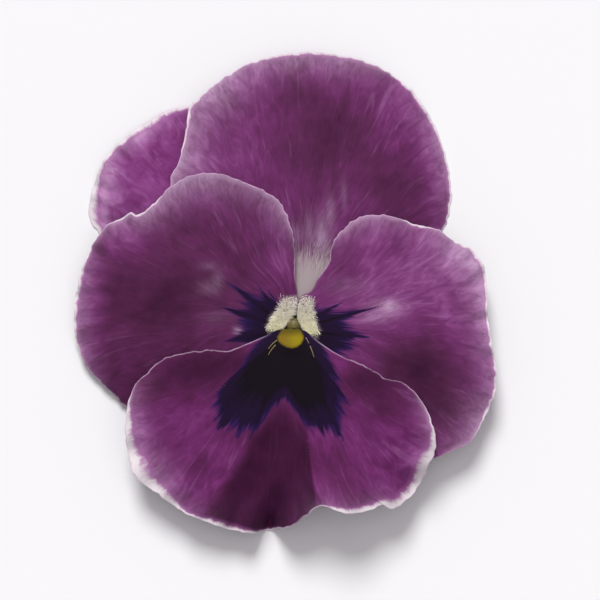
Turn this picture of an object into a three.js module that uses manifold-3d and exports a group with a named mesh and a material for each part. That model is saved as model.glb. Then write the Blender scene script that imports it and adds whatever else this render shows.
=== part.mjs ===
// A large garden pansy blossom, picked with a short stalk and lying face up.
// Millimetres, +Z up out of the face, +Y towards the bloom's two upper petals.
// Shapes are drawn about the middle of the throat, THROAT at x = y = 0, with z = 0 the surface
// that the bloom lies on. The finished bloom is then centred on its own footprint.
import * as THREE from "three";
import { mergeVertices } from "three/addons/utils/BufferGeometryUtils.js";
import Module from "manifold-3d";

const wasm = await Module();
wasm.setup();

// ---- Driving dimensions -------------------------------------------------------------------
const PETAL_THICKNESS = 0.6;
const SEPAL_THICKNESS = 0.7;
const GAP = 0.3; // between pieces that grow side by side
const AXIS = new THREE.Vector2(0.4, 0.8); // the flower's own axis, seen from above
const RECEPTACLE_TOP = 4.2;
const RECEPTACLE_RADIUS = 2.8;
const ORGAN_BASE = RECEPTACLE_TOP + GAP; // everything that stands on the receptacle starts here
const REST_HEIGHT = 0.28; // mid-height of a petal edge that lies on the surface
const REST_SOFTNESS = 0.25;
const RINGS = [0.2, 0.42, 0.64, 0.82, 0.93, 1.0]; // from the middle of a blade to its edge
const EDGE_POINTS = 72;

// ---- Colours ------------------------------------------------------------------------------
const COLOURS = {
  petal: 0x75356f,
  green: 0x6f8f45,
  stalk: 0x7f9a52,
  pistil: 0x9c9a3c,
  anther: 0xd9c98e,
};

function material(colour, roughness) {
  return new THREE.MeshStandardMaterial({ color: colour, roughness, metalness: 0 });
}

// ---- Solids -------------------------------------------------------------------------------
function solidOf(geometry) {
  const bare = geometry.clone();
  bare.deleteAttribute("normal");
  bare.deleteAttribute("uv");
  const merged = mergeVertices(bare, 1e-4);
  return new wasm.Manifold(
    new wasm.Mesh({
      numProp: 3,
      vertProperties: new Float32Array(merged.attributes.position.array),
      triVerts: new Uint32Array(merged.index.array),
    }),
  );
}

function geometryOf(solid) {
  const mesh = solid.getMesh();
  return new THREE.BufferGeometry()
    .setAttribute("position", new THREE.BufferAttribute(new Float32Array(mesh.vertProperties), 3))
    .setIndex(new THREE.BufferAttribute(new Uint32Array(mesh.triVerts), 1));
}

function indexedGeometry(points, triangles) {
  return new THREE.BufferGeometry().setFromPoints(points).setIndex(triangles);
}

// What lies under the surface is pressed flat on it.
const BELOW = solidOf(new THREE.BoxGeometry(200, 200, 20).translate(0, 0, -10));

// A closed body along a smooth route: each section is an ellipse square to the route, which
// reaches `width` to each side, towards `side`, and `depth` above and below at the share `f`.
function sweep({ route, steps, sides, width, depth = width, side }) {
  const curve = new THREE.CatmullRomCurve3(route.map((p) => new THREE.Vector3(...p)), false, "centripetal");
  const sideways = new THREE.Vector3(...side);
  const points = [];
  const triangles = [];
  for (let i = 0; i <= steps; i++) {
    const f = i / steps;
    const centre = curve.getPointAt(f);
    const along = curve.getTangentAt(f);
    const across = sideways.clone().addScaledVector(along, -along.dot(sideways)).normalize();
    const out = along.clone().cross(across);
    for (let k = 0; k < sides; k++) {
      const turn = (2 * Math.PI * k) / sides;
      points.push(
        centre
          .clone()
          .addScaledVector(across, width(f) * Math.cos(turn))
          .addScaledVector(out, depth(f) * Math.sin(turn)),
      );
    }
  }
  const start = points.push(curve.getPointAt(0)) - 1;
  const end = points.push(curve.getPointAt(1)) - 1;
  for (let k = 0; k < sides; k++) {
    const next = (k + 1) % sides;
    for (let i = 0; i < steps; i++) {
      const [a, b] = [i * sides + k, i * sides + next];
      triangles.push(a, b, b + sides, a, b + sides, a + sides);
    }
    triangles.push(start, next, k, end, steps * sides + k, steps * sides + next);
  }
  return solidOf(indexedGeometry(points, triangles));
}

// Rises from 0 to 1 as x goes from a to b.
function smoothstep(a, b, x) {
  return THREE.MathUtils.smoothstep(x, a, b);
}

// A half-round end: 1 along the route, falling to `tip` over the share `length` at its end.
function roundEnd(f, length, tip = 0.25) {
  return Math.max(tip, Math.sqrt(Math.max(0, 1 - Math.max(0, (f - 1 + length) / length) ** 2)));
}

// ---- Petals -------------------------------------------------------------------------------
// Each petal is a waved blade. `edge` is its outline, seen from above. It grows from `claw`
// towards `bearing`, and its middle surface starts at height `level`, rises by `rise` as it
// leaves the throat, and falls away by `droop` at its `reach` and by `right` and `left` at the
// half `width` on each side of its axis. `tilt` leans it across. `frill` waves its edge over the
// sector from `frillFrom` for `frillTurn` degrees round its middle. Each of its `swells` raises it
// by `height` at `at`, and fades as a bell of the radii `wide` and `tall`.
const RISE_LENGTH = 4;
const PETALS = {
  petal_upper_left: {
    edge: [
      [-0.6, 2.9], [-4.3, 2.9], [-13.7, 4.5], [-22.6, 8.7], [-27.9, 13.3], [-29.3, 14.8], [-30.7, 17.4],
      [-30.1, 21.2], [-28.4, 25.4], [-25.5, 28.7], [-22.1, 31.2], [-18.4, 33.3], [-14.8, 33.7],
      [-10.3, 31.8], [-6.1, 27.0], [-3.1, 18.8], [-1.6, 10.5], [-0.5, 4.5],
    ],
    claw: [-0.7, 3.2], bearing: 136.6, reach: 31, width: 12,
    level: 5.3, rise: 0, droop: 2.6, right: 1.3, left: 4.4, tilt: 0,
    frill: 0.35, frillFrom: 105, frillTurn: 95, frillWaves: 9,
  },
  petal_upper_right: {
    edge: [
      [1.3, 2.5], [-1.1, 4.2], [-6.1, 6.8], [-12.9, 12.8], [-17.2, 18.4], [-18.1, 22.5], [-16.8, 25.5],
      [-15.8, 30.0], [-15.2, 33.5], [-12.0, 36.5], [-6.2, 40.2], [1.6, 41.9], [6.1, 41.6], [11.7, 40.4],
      [17.5, 36.9], [21.2, 32.1], [23.1, 27.5], [24.2, 22.3], [24.0, 17.7], [22.5, 14.4], [18.8, 9.9],
      [11.8, 5.8], [5.1, 3.8],
    ],
    claw: [1.0, 3.3], bearing: 86.2, reach: 38, width: 21,
    level: 6.5, rise: 0, droop: 2.9, right: 5.9, left: 0.7, tilt: 0,
    frill: 0.35, frillFrom: 5, frillTurn: 140, frillWaves: 11,
  },
  petal_lateral_left: {
    edge: [
      [-1.8, 0.1], [-0.5, 1.7], [0.5, 2.9], [1.0, 5.0], [0.9, 8.2], [0.6, 12.6], [-0.4, 16.6], [-2.2, 19.6],
      [-6.1, 21.7], [-11.8, 23.5], [-16.3, 22.6], [-18.9, 20.7], [-20.8, 18.8], [-23.1, 17.2],
      [-24.0, 17.7], [-25.6, 16.7], [-27.5, 15.9], [-29.6, 13.3], [-31.5, 9.2], [-32.7, 3.8],
      [-32.5, -1.6], [-30.8, -5.8], [-27.3, -9.3], [-24.8, -11.7], [-20.4, -13.2], [-13.7, -11.2],
      [-7.6, -6.0], [-4.0, -1.8],
    ],
    claw: [-1.2, 1.5], bearing: 165, reach: 31, width: 20,
    level: 7.0, rise: 0.9, droop: 4.6, right: -1.4, left: 5.6, tilt: 0,
    frill: 0.45, frillFrom: 60, frillTurn: 165, frillWaves: 13,
  },
  petal_lateral_right: {
    edge: [
      [2.5, 0.0], [1.6, 1.5], [1.0, 2.9], [1.5, 5.0], [3.0, 5.8], [4.0, 7.6], [5.7, 10.2], [6.0, 12.3],
      [6.8, 13.8], [8.2, 15.5], [10.7, 17.0], [13.8, 17.2], [16.9, 16.5], [18.6, 15.8], [21.9, 15.1],
      [24.6, 13.2], [26.9, 12.1], [28.8, 9.9], [29.4, 6.8], [29.5, 2.7], [30.2, -2.2], [30.9, -7.0],
      [30.3, -10.6], [28.9, -13.6], [27.0, -16.8], [24.2, -18.2], [21.3, -19.2], [17.1, -18.3],
      [11.8, -12.8], [6.6, -5.2], [4.0, -1.8],
    ],
    claw: [1.8, 1.2], bearing: 5, reach: 28, width: 21,
    level: 7.1, rise: 1.0, droop: 2.8, right: 1.2, left: 1.3, tilt: 0,
    frill: 0.45, frillFrom: -65, frillTurn: 185, frillWaves: 14,
  },
  petal_lower: {
    edge: [
      [0.3, -0.7], [-1.9, -0.4], [-3.4, -0.7], [-6.9, -2.2], [-9.4, -3.1], [-12.6, -3.0], [-16.6, -3.6],
      [-19.6, -4.6], [-21.6, -6.6], [-22.9, -7.6], [-24.2, -10.3], [-24.8, -14.2], [-24.5, -18.3],
      [-23.0, -22.4], [-20.1, -24.5], [-16.8, -27.0], [-13.0, -28.7], [-8.9, -30.1], [-5.0, -30.6],
      [-0.9, -29.8], [1.8, -28.1], [4.5, -26.2], [8.1, -27.3], [11.8, -26.9], [13.7, -26.2],
      [15.0, -26.8], [17.8, -25.2], [19.5, -22.9], [20.8, -19.9], [21.7, -17.1], [20.8, -13.2],
      [19.3, -10.3], [16.6, -7.8], [14.1, -7.2], [11.2, -5.4], [7.3, -3.8], [3.4, -1.2],
    ],
    claw: [0, -0.9], bearing: 268, reach: 30, width: 23,
    level: 8.1, rise: 1.2, droop: 3.0, right: 0.6, left: 2.0, tilt: -0.055,
    frill: 0.5, frillFrom: 165, frillTurn: 210, frillWaves: 15,
    folded: true,
    swells: [
      { at: [0.15, -2.1], wide: 1.6, tall: 1.6, height: 0.5 }, // the yellow palate, before the stigma
      { at: [6.5, -27], wide: 6.5, tall: 5, height: 2.5 }, // the edge stands high beside the notch
      { at: [19.8, -23.5], wide: 3.5, tall: 3.2, height: -3.0 }, // and sinks at its right corner
    ],
  },
};

// The lower petal sinks into a shallow trough that runs from its dark blotch to its edge, and
// widens as it goes. The left side is a gentle slope, and the right side is a wall that ends at a
// sharp crease, which meets the edge at the notch. At the edge the trough is pinched down to the
// surface.
const TROUGH = { from: [0.6, -9.0], to: [-3.4, -30.0], depth: 1.5, leftWidth: 2.5, rightWidth: 1.8, spread: 0.28 };
const PINCH = { depth: 5.8, width: 1.5, start: 0.62 };

function foldDepth(x, y) {
  const [ax, ay] = TROUGH.from;
  const [bx, by] = TROUGH.to;
  const length = Math.hypot(bx - ax, by - ay);
  const along = Math.max(0, ((x - ax) * (bx - ax) + (y - ay) * (by - ay)) / length);
  const off = ((y - ay) * (bx - ax) - (x - ax) * (by - ay)) / length; // above 0 to its right
  const share = off / ((off > 0 ? TROUGH.rightWidth : TROUGH.leftWidth) + TROUGH.spread * along);
  const wall = off > 0 ? Math.max(0, 1 - share ** 2) : Math.exp(-(share ** 2));
  const trough = TROUGH.depth * smoothstep(0, 1.1 * length, along) * wall;
  const pinch = PINCH.depth * smoothstep(PINCH.start * length, length, along) * Math.exp(-((off / PINCH.width) ** 2));
  return trough + pinch;
}

// Height of a petal's middle surface over the point (x, y), before its edge is waved.
function petalHeight(petal, x, y) {
  const angle = THREE.MathUtils.degToRad(petal.bearing);
  const [dx, dy] = [x - petal.claw[0], y - petal.claw[1]];
  const along = Math.max(0, dx * Math.cos(angle) + dy * Math.sin(angle));
  const across = dx * Math.sin(angle) - dy * Math.cos(angle); // above 0 to the right of the axis
  const side = across > 0 ? petal.right : petal.left;
  let z = petal.level + petal.rise * (1 - Math.exp(-Math.hypot(dx, dy) / RISE_LENGTH));
  z -= petal.droop * (along / petal.reach) ** 2 + side * (across / petal.width) ** 2;
  z += petal.tilt * across;
  if (petal.folded) z -= foldDepth(x, y);
  for (const { at, wide, tall, height } of petal.swells ?? []) {
    z += height * Math.exp(-(((x - at[0]) / wide) ** 2) - ((y - at[1]) / tall) ** 2);
  }
  return z;
}

// A petal's edge where it waves freely: up and down by up to `frill`, growing towards the edge.
function frillHeight(petal, turn, share) {
  const from = THREE.MathUtils.degToRad(petal.frillFrom);
  const span = THREE.MathUtils.degToRad(petal.frillTurn);
  const round = THREE.MathUtils.euclideanModulo(turn - from, 2 * Math.PI) / span;
  if (round > 1) return 0;
  const phase = 2 * Math.PI * petal.frillWaves * round;
  const fade = smoothstep(0, 0.12, round) * smoothstep(0, 0.12, 1 - round);
  return petal.frill * share ** 4 * fade * (0.6 * Math.sin(0.5 * phase) + 0.4 * Math.sin(phase + 1));
}

// Eases a height so that it never falls below the height at which an edge lies on the surface.
function restOnSurface(z) {
  const over = (z - REST_HEIGHT) / REST_SOFTNESS;
  return REST_HEIGHT + REST_SOFTNESS * (over > 30 ? over : Math.log1p(Math.exp(over)));
}

// The outline as evenly spaced points on a smooth closed curve, anticlockwise from above.
function edgePoints(petal) {
  const corners = petal.edge.map(([x, y]) => new THREE.Vector3(x, y, 0));
  const flat = corners.map((p) => new THREE.Vector2(p.x, p.y));
  if (THREE.ShapeUtils.area(flat) < 0) corners.reverse();
  const curve = new THREE.CatmullRomCurve3(corners, true, "centripetal");
  curve.arcLengthDivisions = 800;
  return curve.getSpacedPoints(EDGE_POINTS).slice(0, EDGE_POINTS);
}

// A blade is a middle surface on rings round its middle, given a thickness along its normals,
// with both faces split into triangles alike and a band round the edge.
function blade(petal) {
  const edge = edgePoints(petal);
  const middle = edge.reduce((sum, p) => sum.add(p), new THREE.Vector3()).divideScalar(edge.length);
  const points = [middle.clone().setZ(restOnSurface(petalHeight(petal, middle.x, middle.y)))];
  for (const share of RINGS) {
    for (const p of edge) {
      const at = middle.clone().lerp(p, share);
      const turn = Math.atan2(p.y - middle.y, p.x - middle.x);
      const z = petalHeight(petal, at.x, at.y) + frillHeight(petal, turn, share);
      points.push(at.setZ(restOnSurface(z)));
    }
  }
  const vertex = (ring, k) => 1 + ring * EDGE_POINTS + (k % EDGE_POINTS);
  const face = [];
  for (let k = 0; k < EDGE_POINTS; k++) {
    face.push([0, vertex(0, k), vertex(0, k + 1)]);
    for (let ring = 0; ring + 1 < RINGS.length; ring++) {
      const [a, b] = [vertex(ring, k), vertex(ring, k + 1)];
      const [c, d] = [vertex(ring + 1, k + 1), vertex(ring + 1, k)];
      face.push([a, d, c], [a, c, b]);
    }
  }
  const surface = indexedGeometry(points, face.flat());
  surface.computeVertexNormals();
  const normals = points.map((_, i) => new THREE.Vector3().fromBufferAttribute(surface.attributes.normal, i));
  const shifted = (by) => points.map((p, i) => p.clone().addScaledVector(normals[i], by));
  const vertices = [...shifted(PETAL_THICKNESS / 2), ...shifted(-PETAL_THICKNESS / 2)];
  const under = points.length;
  const triangles = face.flatMap(([a, b, c]) => [a, b, c, under + a, under + c, under + b]);
  for (let k = 0; k < EDGE_POINTS; k++) {
    const [a, b] = [vertex(RINGS.length - 1, k), vertex(RINGS.length - 1, k + 1)];
    triangles.push(a, under + a, under + b, a, under + b, b);
  }
  return solidOf(indexedGeometry(vertices, triangles));
}

// A point at `radius` from the flower's axis, towards `degrees`.
function aroundAxis(degrees, radius, z) {
  const angle = THREE.MathUtils.degToRad(degrees);
  return [AXIS.x + radius * Math.cos(angle), AXIS.y + radius * Math.sin(angle), z];
}

// The level direction square to the line that runs out from the flower's axis towards `degrees`.
function sidewaysAt(degrees) {
  const angle = THREE.MathUtils.degToRad(degrees);
  return [-Math.sin(angle), Math.cos(angle), 0];
}

// The narrow foot of a petal, which stands on the receptacle's rim and runs up into the blade.
const CLAW_RADIUS = 2.45;
const CLAW_HALF_WIDTH = 0.55;
function claw(degrees, top) {
  const foot = aroundAxis(degrees, CLAW_RADIUS, ORGAN_BASE);
  const waist = [foot[0], foot[1], ORGAN_BASE + 0.5];
  return sweep({
    route: [foot, waist, top],
    steps: 4,
    sides: 8,
    width: (f) => CLAW_HALF_WIDTH * (1 + 0.5 * f),
    depth: () => PETAL_THICKNESS / 2,
    side: sidewaysAt(degrees),
  });
}

// The beard: short hairs on a side petal's base, leaning in over the throat. They are placed on
// a jittered grid that runs from `corner` by `along` the petal's edge and by `inward` from it.
const BEARD_RADIUS = 0.2;
function beard(petal, { corner, along, inward, rows, columns, lean, seed }) {
  const random = seededRandom(seed);
  const hairs = [];
  for (let row = 0; row < rows; row++) {
    for (let column = 0; column < columns; column++) {
      const [u, v] = [(row + 0.2 + 0.6 * random()) / rows, (column + 0.2 + 0.6 * random()) / columns];
      const [x, y] = [0, 1].map((i) => corner[i] + u * along[i] + v * inward[i]);
      const z = petalHeight(petal, x, y);
      const [nearX, nearY] = [x + 0.2 * lean[0], y + 0.2 * lean[1]];
      hairs.push(
        sweep({
          route: [[x, y, z], [nearX, nearY, z + 0.7], [x + lean[0], y + lean[1], z + 1.1]],
          steps: 2,
          sides: 4,
          width: (f) => BEARD_RADIUS * (1 - 0.55 * f),
          side: [1, 0, 0],
        }),
      );
    }
  }
  return hairs;
}

// A repeatable random draw between 0 and 1.
function seededRandom(seed) {
  let state = seed;
  return () => {
    state = (state * 1664525 + 1013904223) % 4294967296;
    return state / 4294967296;
  };
}

// The lower petal's base is drawn out behind the bloom into a blunt hollow nectar spur. Its
// mouth opens into the throat below the palate.
const SPUR_RADIUS = 1.45;
const SPUR_BORE = 0.88;
const SPUR_X = 0.4;
const SPUR_ROUTE = [
  [SPUR_X, -2.7, 8.9], [SPUR_X, -2.8, 7.0], [SPUR_X, -3.2, 5.4], [SPUR_X, -3.9, 4.0],
  [SPUR_X, -4.8, 2.7], [SPUR_X, -5.8, 1.75], [SPUR_X, -7.0, 1.25],
];
const SPUR_BORE_ROUTE = [
  [SPUR_X, -0.6, 6.75], [SPUR_X, -1.7, 6.45], [SPUR_X, -2.8, 5.75], [SPUR_X, -3.8, 4.25],
  [SPUR_X, -4.8, 2.8], [SPUR_X, -5.7, 1.9],
];

function withSpur(lowerBlade) {
  const spur = sweep({
    route: SPUR_ROUTE,
    steps: 14,
    sides: 12,
    width: (f) => (SPUR_RADIUS - 0.1 * f) * roundEnd(f, 0.14),
    side: [1, 0, 0],
  });
  const bore = sweep({
    route: SPUR_BORE_ROUTE,
    steps: 9,
    sides: 10,
    width: (f) => SPUR_BORE - 0.06 * f,
    side: [1, 0, 0],
  });
  return lowerBlade.add(spur).subtract(bore);
}

const BEARDS = {
  left: { corner: [-2.7, 0.5], along: [2.4, 4.0], inward: [-1.4, 1.0], rows: 5, columns: 2, lean: [0.2, -0.35], seed: 11 },
  right: { corner: [2.6, 0.8], along: [-0.2, 3.9], inward: [1.5, 0.4], rows: 5, columns: 2, lean: [-0.2, -0.35], seed: 23 },
};

function petalSolids() {
  const blades = Object.fromEntries(Object.entries(PETALS).map(([name, petal]) => [name, blade(petal)]));
  const { petal_lateral_left: left, petal_lateral_right: right } = PETALS;
  return {
    petal_upper_left: blades.petal_upper_left.add(claw(112, [-1.3, 4.2, 5.3])),
    petal_upper_right: blades.petal_upper_right.add(claw(66, [1.5, 3.9, 6.5])),
    petal_lateral_left: wasm.Manifold.union([
      blades.petal_lateral_left,
      claw(172, [-2.2, 1.3, 7.3]),
      ...beard(left, BEARDS.left),
    ]),
    petal_lateral_right: wasm.Manifold.union([
      blades.petal_lateral_right,
      claw(8, [3.0, 1.3, 7.3]),
      ...beard(right, BEARDS.right),
    ]),
    petal_lower: withSpur(blades.petal_lower),
  };
}

// ---- Calyx --------------------------------------------------------------------------------
// Five pointed sepals stand round the receptacle, between the petals. Each lies along the backs
// of the petals, and runs back past where it joins as a short rounded ear.
const SEPAL_LENGTH = 14;
const SEPAL_HALF_WIDTH = 2.2;
const SEPALS = {
  sepal_top: { bearing: 90, tip: 3.9 },
  sepal_upper_left: { bearing: 162, tip: 2.5 },
  sepal_upper_right: { bearing: 18, tip: 3.4 },
  sepal_lower_left: { bearing: -126, tip: 4.4 },
  sepal_lower_right: { bearing: -54, tip: 5.2 },
};

function sepalSolid({ bearing, tip }) {
  const root = RECEPTACLE_RADIUS + SEPAL_THICKNESS / 2 + 0.6 * GAP;
  const profile = [
    [root + 1.2, 1.0],
    [root + 0.5, 1.9],
    [root, 3.0],
    [root + 0.9, 3.9],
    [root + 3.2, THREE.MathUtils.lerp(4.0, tip, 0.3)],
    [root + 7.0, THREE.MathUtils.lerp(4.0, tip, 0.65)],
    [SEPAL_LENGTH, tip],
  ];
  const ear = 0.2; // the share of the route that is the ear
  return sweep({
    route: profile.map(([radius, z]) => aroundAxis(bearing, radius, z)),
    steps: 13,
    sides: 8,
    width: (f) =>
      f < ear
        ? 0.45 + 0.4 * Math.sin((Math.PI / 2) * (f / ear))
        : 0.12 + (0.73 + (SEPAL_HALF_WIDTH - 0.85) * smoothstep(ear, 0.5, f)) * (1 - smoothstep(0.5, 1.02, f)),
    depth: (f) => (SEPAL_THICKNESS / 2) * (1 - 0.3 * smoothstep(0.6, 1, f)),
    side: sidewaysAt(bearing),
  });
}

// ---- Stamens and pistil -------------------------------------------------------------------
// Five flat anthers stand in a ring round the ovary. The two in front carry a thin nectary that
// reaches into the spur.
const ANTHER_RADIUS = 1.5;
const ANTHER_TOP = 6.0;
const STAMEN_BEARINGS = [90, 162, 18, -126, -54];
const NECTARY_RADIUS = 0.17;
const NECTARY_ROUTE = [[0.9, -0.45, 5.6], [0.45, -1.2, 6.4], [0.3, -1.9, 6.3], [0.3, -2.6, 5.75], [0.3, -3.2, 4.85]];

function stamenSolid(bearing) {
  const angle = THREE.MathUtils.degToRad(bearing);
  const anther = sweep({
    route: [ORGAN_BASE, 0.5 * (ORGAN_BASE + ANTHER_TOP), ANTHER_TOP].map((z) => aroundAxis(bearing, ANTHER_RADIUS, z)),
    steps: 6,
    sides: 8,
    width: (f) => 0.25 + 0.35 * Math.sin(Math.PI * (0.1 + 0.8 * f)),
    depth: () => 0.26,
    side: sidewaysAt(bearing),
  });
  if (Math.sin(angle) > 0 || Math.abs(Math.cos(angle)) > 0.9) return anther;
  const hand = Math.sign(Math.cos(angle));
  const nectary = sweep({
    route: NECTARY_ROUTE.map(([x, y, z]) => [SPUR_X + hand * x, y, z]),
    steps: 6,
    sides: 6,
    width: () => NECTARY_RADIUS,
    side: [1, 0, 0],
  });
  return anther.add(nectary);
}

const STIGMA = { centre: [0.45, 0.75, 6.9], radius: 0.95 };
function pistilSolid() {
  const ovary = new THREE.LatheGeometry(
    [[0, ORGAN_BASE], [0.45, ORGAN_BASE], [0.8, 4.9], [0.82, 5.3], [0.5, 5.8], [0.3, 6.0], [0, 6.05]].map(
      ([r, z]) => new THREE.Vector2(r, z),
    ),
    12,
  )
    .rotateX(Math.PI / 2)
    .translate(AXIS.x, AXIS.y, 0);
  const style = sweep({
    route: [[AXIS.x, AXIS.y, 5.6], [AXIS.x, AXIS.y + 0.1, 6.2], STIGMA.centre],
    steps: 3,
    sides: 8,
    width: () => 0.32,
    side: [1, 0, 0],
  });
  const head = new THREE.SphereGeometry(STIGMA.radius, 14, 10).rotateX(Math.PI / 2).translate(...STIGMA.centre);
  return wasm.Manifold.union([solidOf(ovary), style, solidOf(head)]);
}

// ---- Stalk --------------------------------------------------------------------------------
// The receptacle is the swollen top of the stalk. The stalk bends over under the bloom and lies
// along the surface to its cut end, with two small scale leaves.
const STALK_RADIUS = 0.95;
const STALK_LEVEL = 0.8; // a little under its radius, so that it lies on a narrow flat
const STALK_ROUTE = [
  [AXIS.x, AXIS.y, 3.4], [0.9, 0.65, 2.15], [2.2, 0.2, 1.2], [4.0, -0.5, STALK_LEVEL + 0.02],
  [6.2, -1.9, STALK_LEVEL], [8.2, -4.6, STALK_LEVEL], [9.4, -8.5, STALK_LEVEL], [9.9, -13.0, STALK_LEVEL],
];
const SCALE_LEAVES = [
  [[8.6, -6.0, 1.2], [9.9, -6.4, 1.6], [11.2, -7.4, 2.3]],
  [[9.0, -6.6, 1.2], [7.7, -7.4, 1.5], [6.9, -8.7, 2.0]],
];

function stalkSolid() {
  const receptacle = new THREE.LatheGeometry(
    [[0, 2.5], [1.0, 2.5], [1.9, 2.9], [RECEPTACLE_RADIUS, 3.5], [RECEPTACLE_RADIUS, 3.9], [2.6, RECEPTACLE_TOP], [0, RECEPTACLE_TOP]].map(
      ([r, z]) => new THREE.Vector2(r, z),
    ),
    20,
  )
    .rotateX(Math.PI / 2)
    .translate(AXIS.x, AXIS.y, 0);
  const stem = sweep({ route: STALK_ROUTE, steps: 20, sides: 12, width: () => STALK_RADIUS, side: [0.7, 0.7, 0] });
  const scales = SCALE_LEAVES.map((route) =>
    sweep({
      route,
      steps: 5,
      sides: 6,
      width: (f) => 0.65 * (1 - 0.8 * f ** 2),
      depth: (f) => 0.32 - 0.1 * f,
      side: [route[2][1] - route[0][1], route[0][0] - route[2][0], 0],
    }),
  );
  return wasm.Manifold.union([solidOf(receptacle), stem, ...scales]);
}

// ---- Assembly -----------------------------------------------------------------------------
const FINISH = {
  petal: material(COLOURS.petal, 0.75),
  sepal: material(COLOURS.green, 0.6),
  stamen: material(COLOURS.anther, 0.7),
  pistil: material(COLOURS.pistil, 0.55),
  stalk: material(COLOURS.stalk, 0.6),
};

const solids = {
  ...petalSolids(),
  ...Object.fromEntries(Object.entries(SEPALS).map(([name, sepal]) => [name, sepalSolid(sepal)])),
  ...Object.fromEntries(STAMEN_BEARINGS.map((bearing, i) => ["stamen_" + (i + 1), stamenSolid(bearing)])),
  pistil: pistilSolid(),
  stalk: stalkSolid(),
};

const bloom = new THREE.Group();
for (const [name, solid] of Object.entries(solids)) {
  const kind = name.split("_")[0];
  const mesh = new THREE.Mesh(geometryOf(solid.subtract(BELOW)), FINISH[kind]);
  mesh.name = name;
  bloom.add(mesh);
}
const footprint = new THREE.Box3().setFromObject(bloom);
const centre = footprint.getCenter(new THREE.Vector3());
bloom.position.set(-centre.x, -centre.y, 0);

export default bloom;
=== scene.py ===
import bpy
import numpy as np
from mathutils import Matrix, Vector


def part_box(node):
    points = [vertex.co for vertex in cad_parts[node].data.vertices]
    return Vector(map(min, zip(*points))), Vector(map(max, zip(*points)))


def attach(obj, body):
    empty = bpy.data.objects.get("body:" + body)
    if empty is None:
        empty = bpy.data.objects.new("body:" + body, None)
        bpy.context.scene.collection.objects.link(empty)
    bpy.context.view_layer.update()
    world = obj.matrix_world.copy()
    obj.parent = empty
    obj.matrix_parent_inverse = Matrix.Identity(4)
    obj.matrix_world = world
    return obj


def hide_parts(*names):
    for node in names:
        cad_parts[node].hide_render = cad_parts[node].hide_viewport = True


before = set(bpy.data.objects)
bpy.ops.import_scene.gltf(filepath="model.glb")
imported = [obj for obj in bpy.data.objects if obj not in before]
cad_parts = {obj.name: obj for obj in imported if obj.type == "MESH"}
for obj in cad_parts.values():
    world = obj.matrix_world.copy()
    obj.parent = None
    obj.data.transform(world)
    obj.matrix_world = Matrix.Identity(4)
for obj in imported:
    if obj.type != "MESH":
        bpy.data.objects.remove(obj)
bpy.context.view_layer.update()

# ---- Surface, light and camera --------------------------------------------------------------
# A plain pale surface that the bloom lies on, seen from straight above. Soft sunlight falls from
# beyond the top of the bloom, so that its shadow lies below the lower petal.
MM = 0.001
# Shapes are drawn in mm from the middle of the throat, where the stigma's centre has this place.
STIGMA = np.array([0.45, 0.75, 6.9])
stigma_box = np.array(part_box("pistil"))
THROAT = (stigma_box[0, :2] + stigma_box[1, :2]) / 2 / MM - STIGMA[:2]


def colour(code):
    """The shader colour of a hex code such as "6c2f66": each channel is undone from screen gamma."""
    channel = np.array([int(code[i : i + 2], 16) for i in (0, 2, 4)]) / 255
    linear = np.where(channel <= 0.04045, channel / 12.92, ((channel + 0.055) / 1.055) ** 2.4)
    return (*linear.tolist(), 1.0)


def add_node(tree, kind, inputs=None, **settings):
    """Adds a node, sets its properties, and gives each named input a number, a colour or a link."""
    made = tree.nodes.new(kind)
    for name, value in settings.items():
        setattr(made, name, value)
    for key, value in (inputs or {}).items():
        if isinstance(value, bpy.types.NodeSocket):
            tree.links.new(value, made.inputs[key])
        else:
            made.inputs[key].default_value = value
    return made


def new_material(name, constants):
    """A node material and its Principled shader, with constants set on the shader's sockets."""
    made = bpy.data.materials.new(name)
    made.use_nodes = True
    shader = made.node_tree.nodes["Principled BSDF"]
    for socket, value in constants.items():
        shader.inputs[socket].default_value = value
    return made, shader


HALF_FLOOR = 1.5
floor_corners = [(x * HALF_FLOOR, y * HALF_FLOOR, 0) for x, y in ((-1, -1), (1, -1), (1, 1), (-1, 1))]
floor_mesh = bpy.data.meshes.new("floor")
floor_mesh.from_pydata(floor_corners, [], [(0, 1, 2, 3)])
floor = bpy.data.objects.new("floor", floor_mesh)
bpy.context.collection.objects.link(floor)
floor_material, _ = new_material(
    "pale surface", {"Base Color": colour("f3f3f4"), "Roughness": 0.8, "Specular IOR Level": 0.1}
)
floor_mesh.materials.append(floor_material)

world = bpy.data.worlds.new("studio")
bpy.context.scene.world = world
world.use_nodes = True
sky = world.node_tree.nodes["Background"]
sky.inputs["Color"].default_value = (1.0, 0.94, 1.0, 1.0)
sky.inputs["Strength"].default_value = 0.3


def soft_sun(name, toward, spread_angle, strength):
    """A far lamp whose light comes from the direction `toward`, spread over an angle in radians."""
    data = bpy.data.lights.new(name, "SUN")
    data.angle = spread_angle
    data.energy = strength
    lamp = bpy.data.objects.new(name, data)
    lamp.rotation_euler = Vector(toward).to_track_quat("Z", "Y").to_euler()
    bpy.context.collection.objects.link(lamp)


soft_sun("key light", (-0.08, 0.52, 0.52), spread_angle=0.4, strength=2.72)
soft_sun("top light", (0.1, 0.05, 0.8), spread_angle=1.0, strength=0.5)
bpy.context.scene.view_settings.view_transform = "Standard"

CAMERA_HEIGHT = 0.5065
PICTURE_MIDDLE = (THROAT + [1.35, 4.5]) * MM
camera_data = bpy.data.cameras.new("camera")
camera_data.lens = 200
camera_data.sensor_width = 36
camera = bpy.data.objects.new("camera", camera_data)
camera.location = (*PICTURE_MIDDLE, CAMERA_HEIGHT)
bpy.context.collection.objects.link(camera)
bpy.context.scene.camera = camera

# ---- Stalk ----------------------------------------------------------------------------------
# The picked stalk, fleshy and faintly ribbed, with the swollen receptacle at its top that carries
# the whole bloom. It bends over, lies along the surface and ends in the cut.


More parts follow.
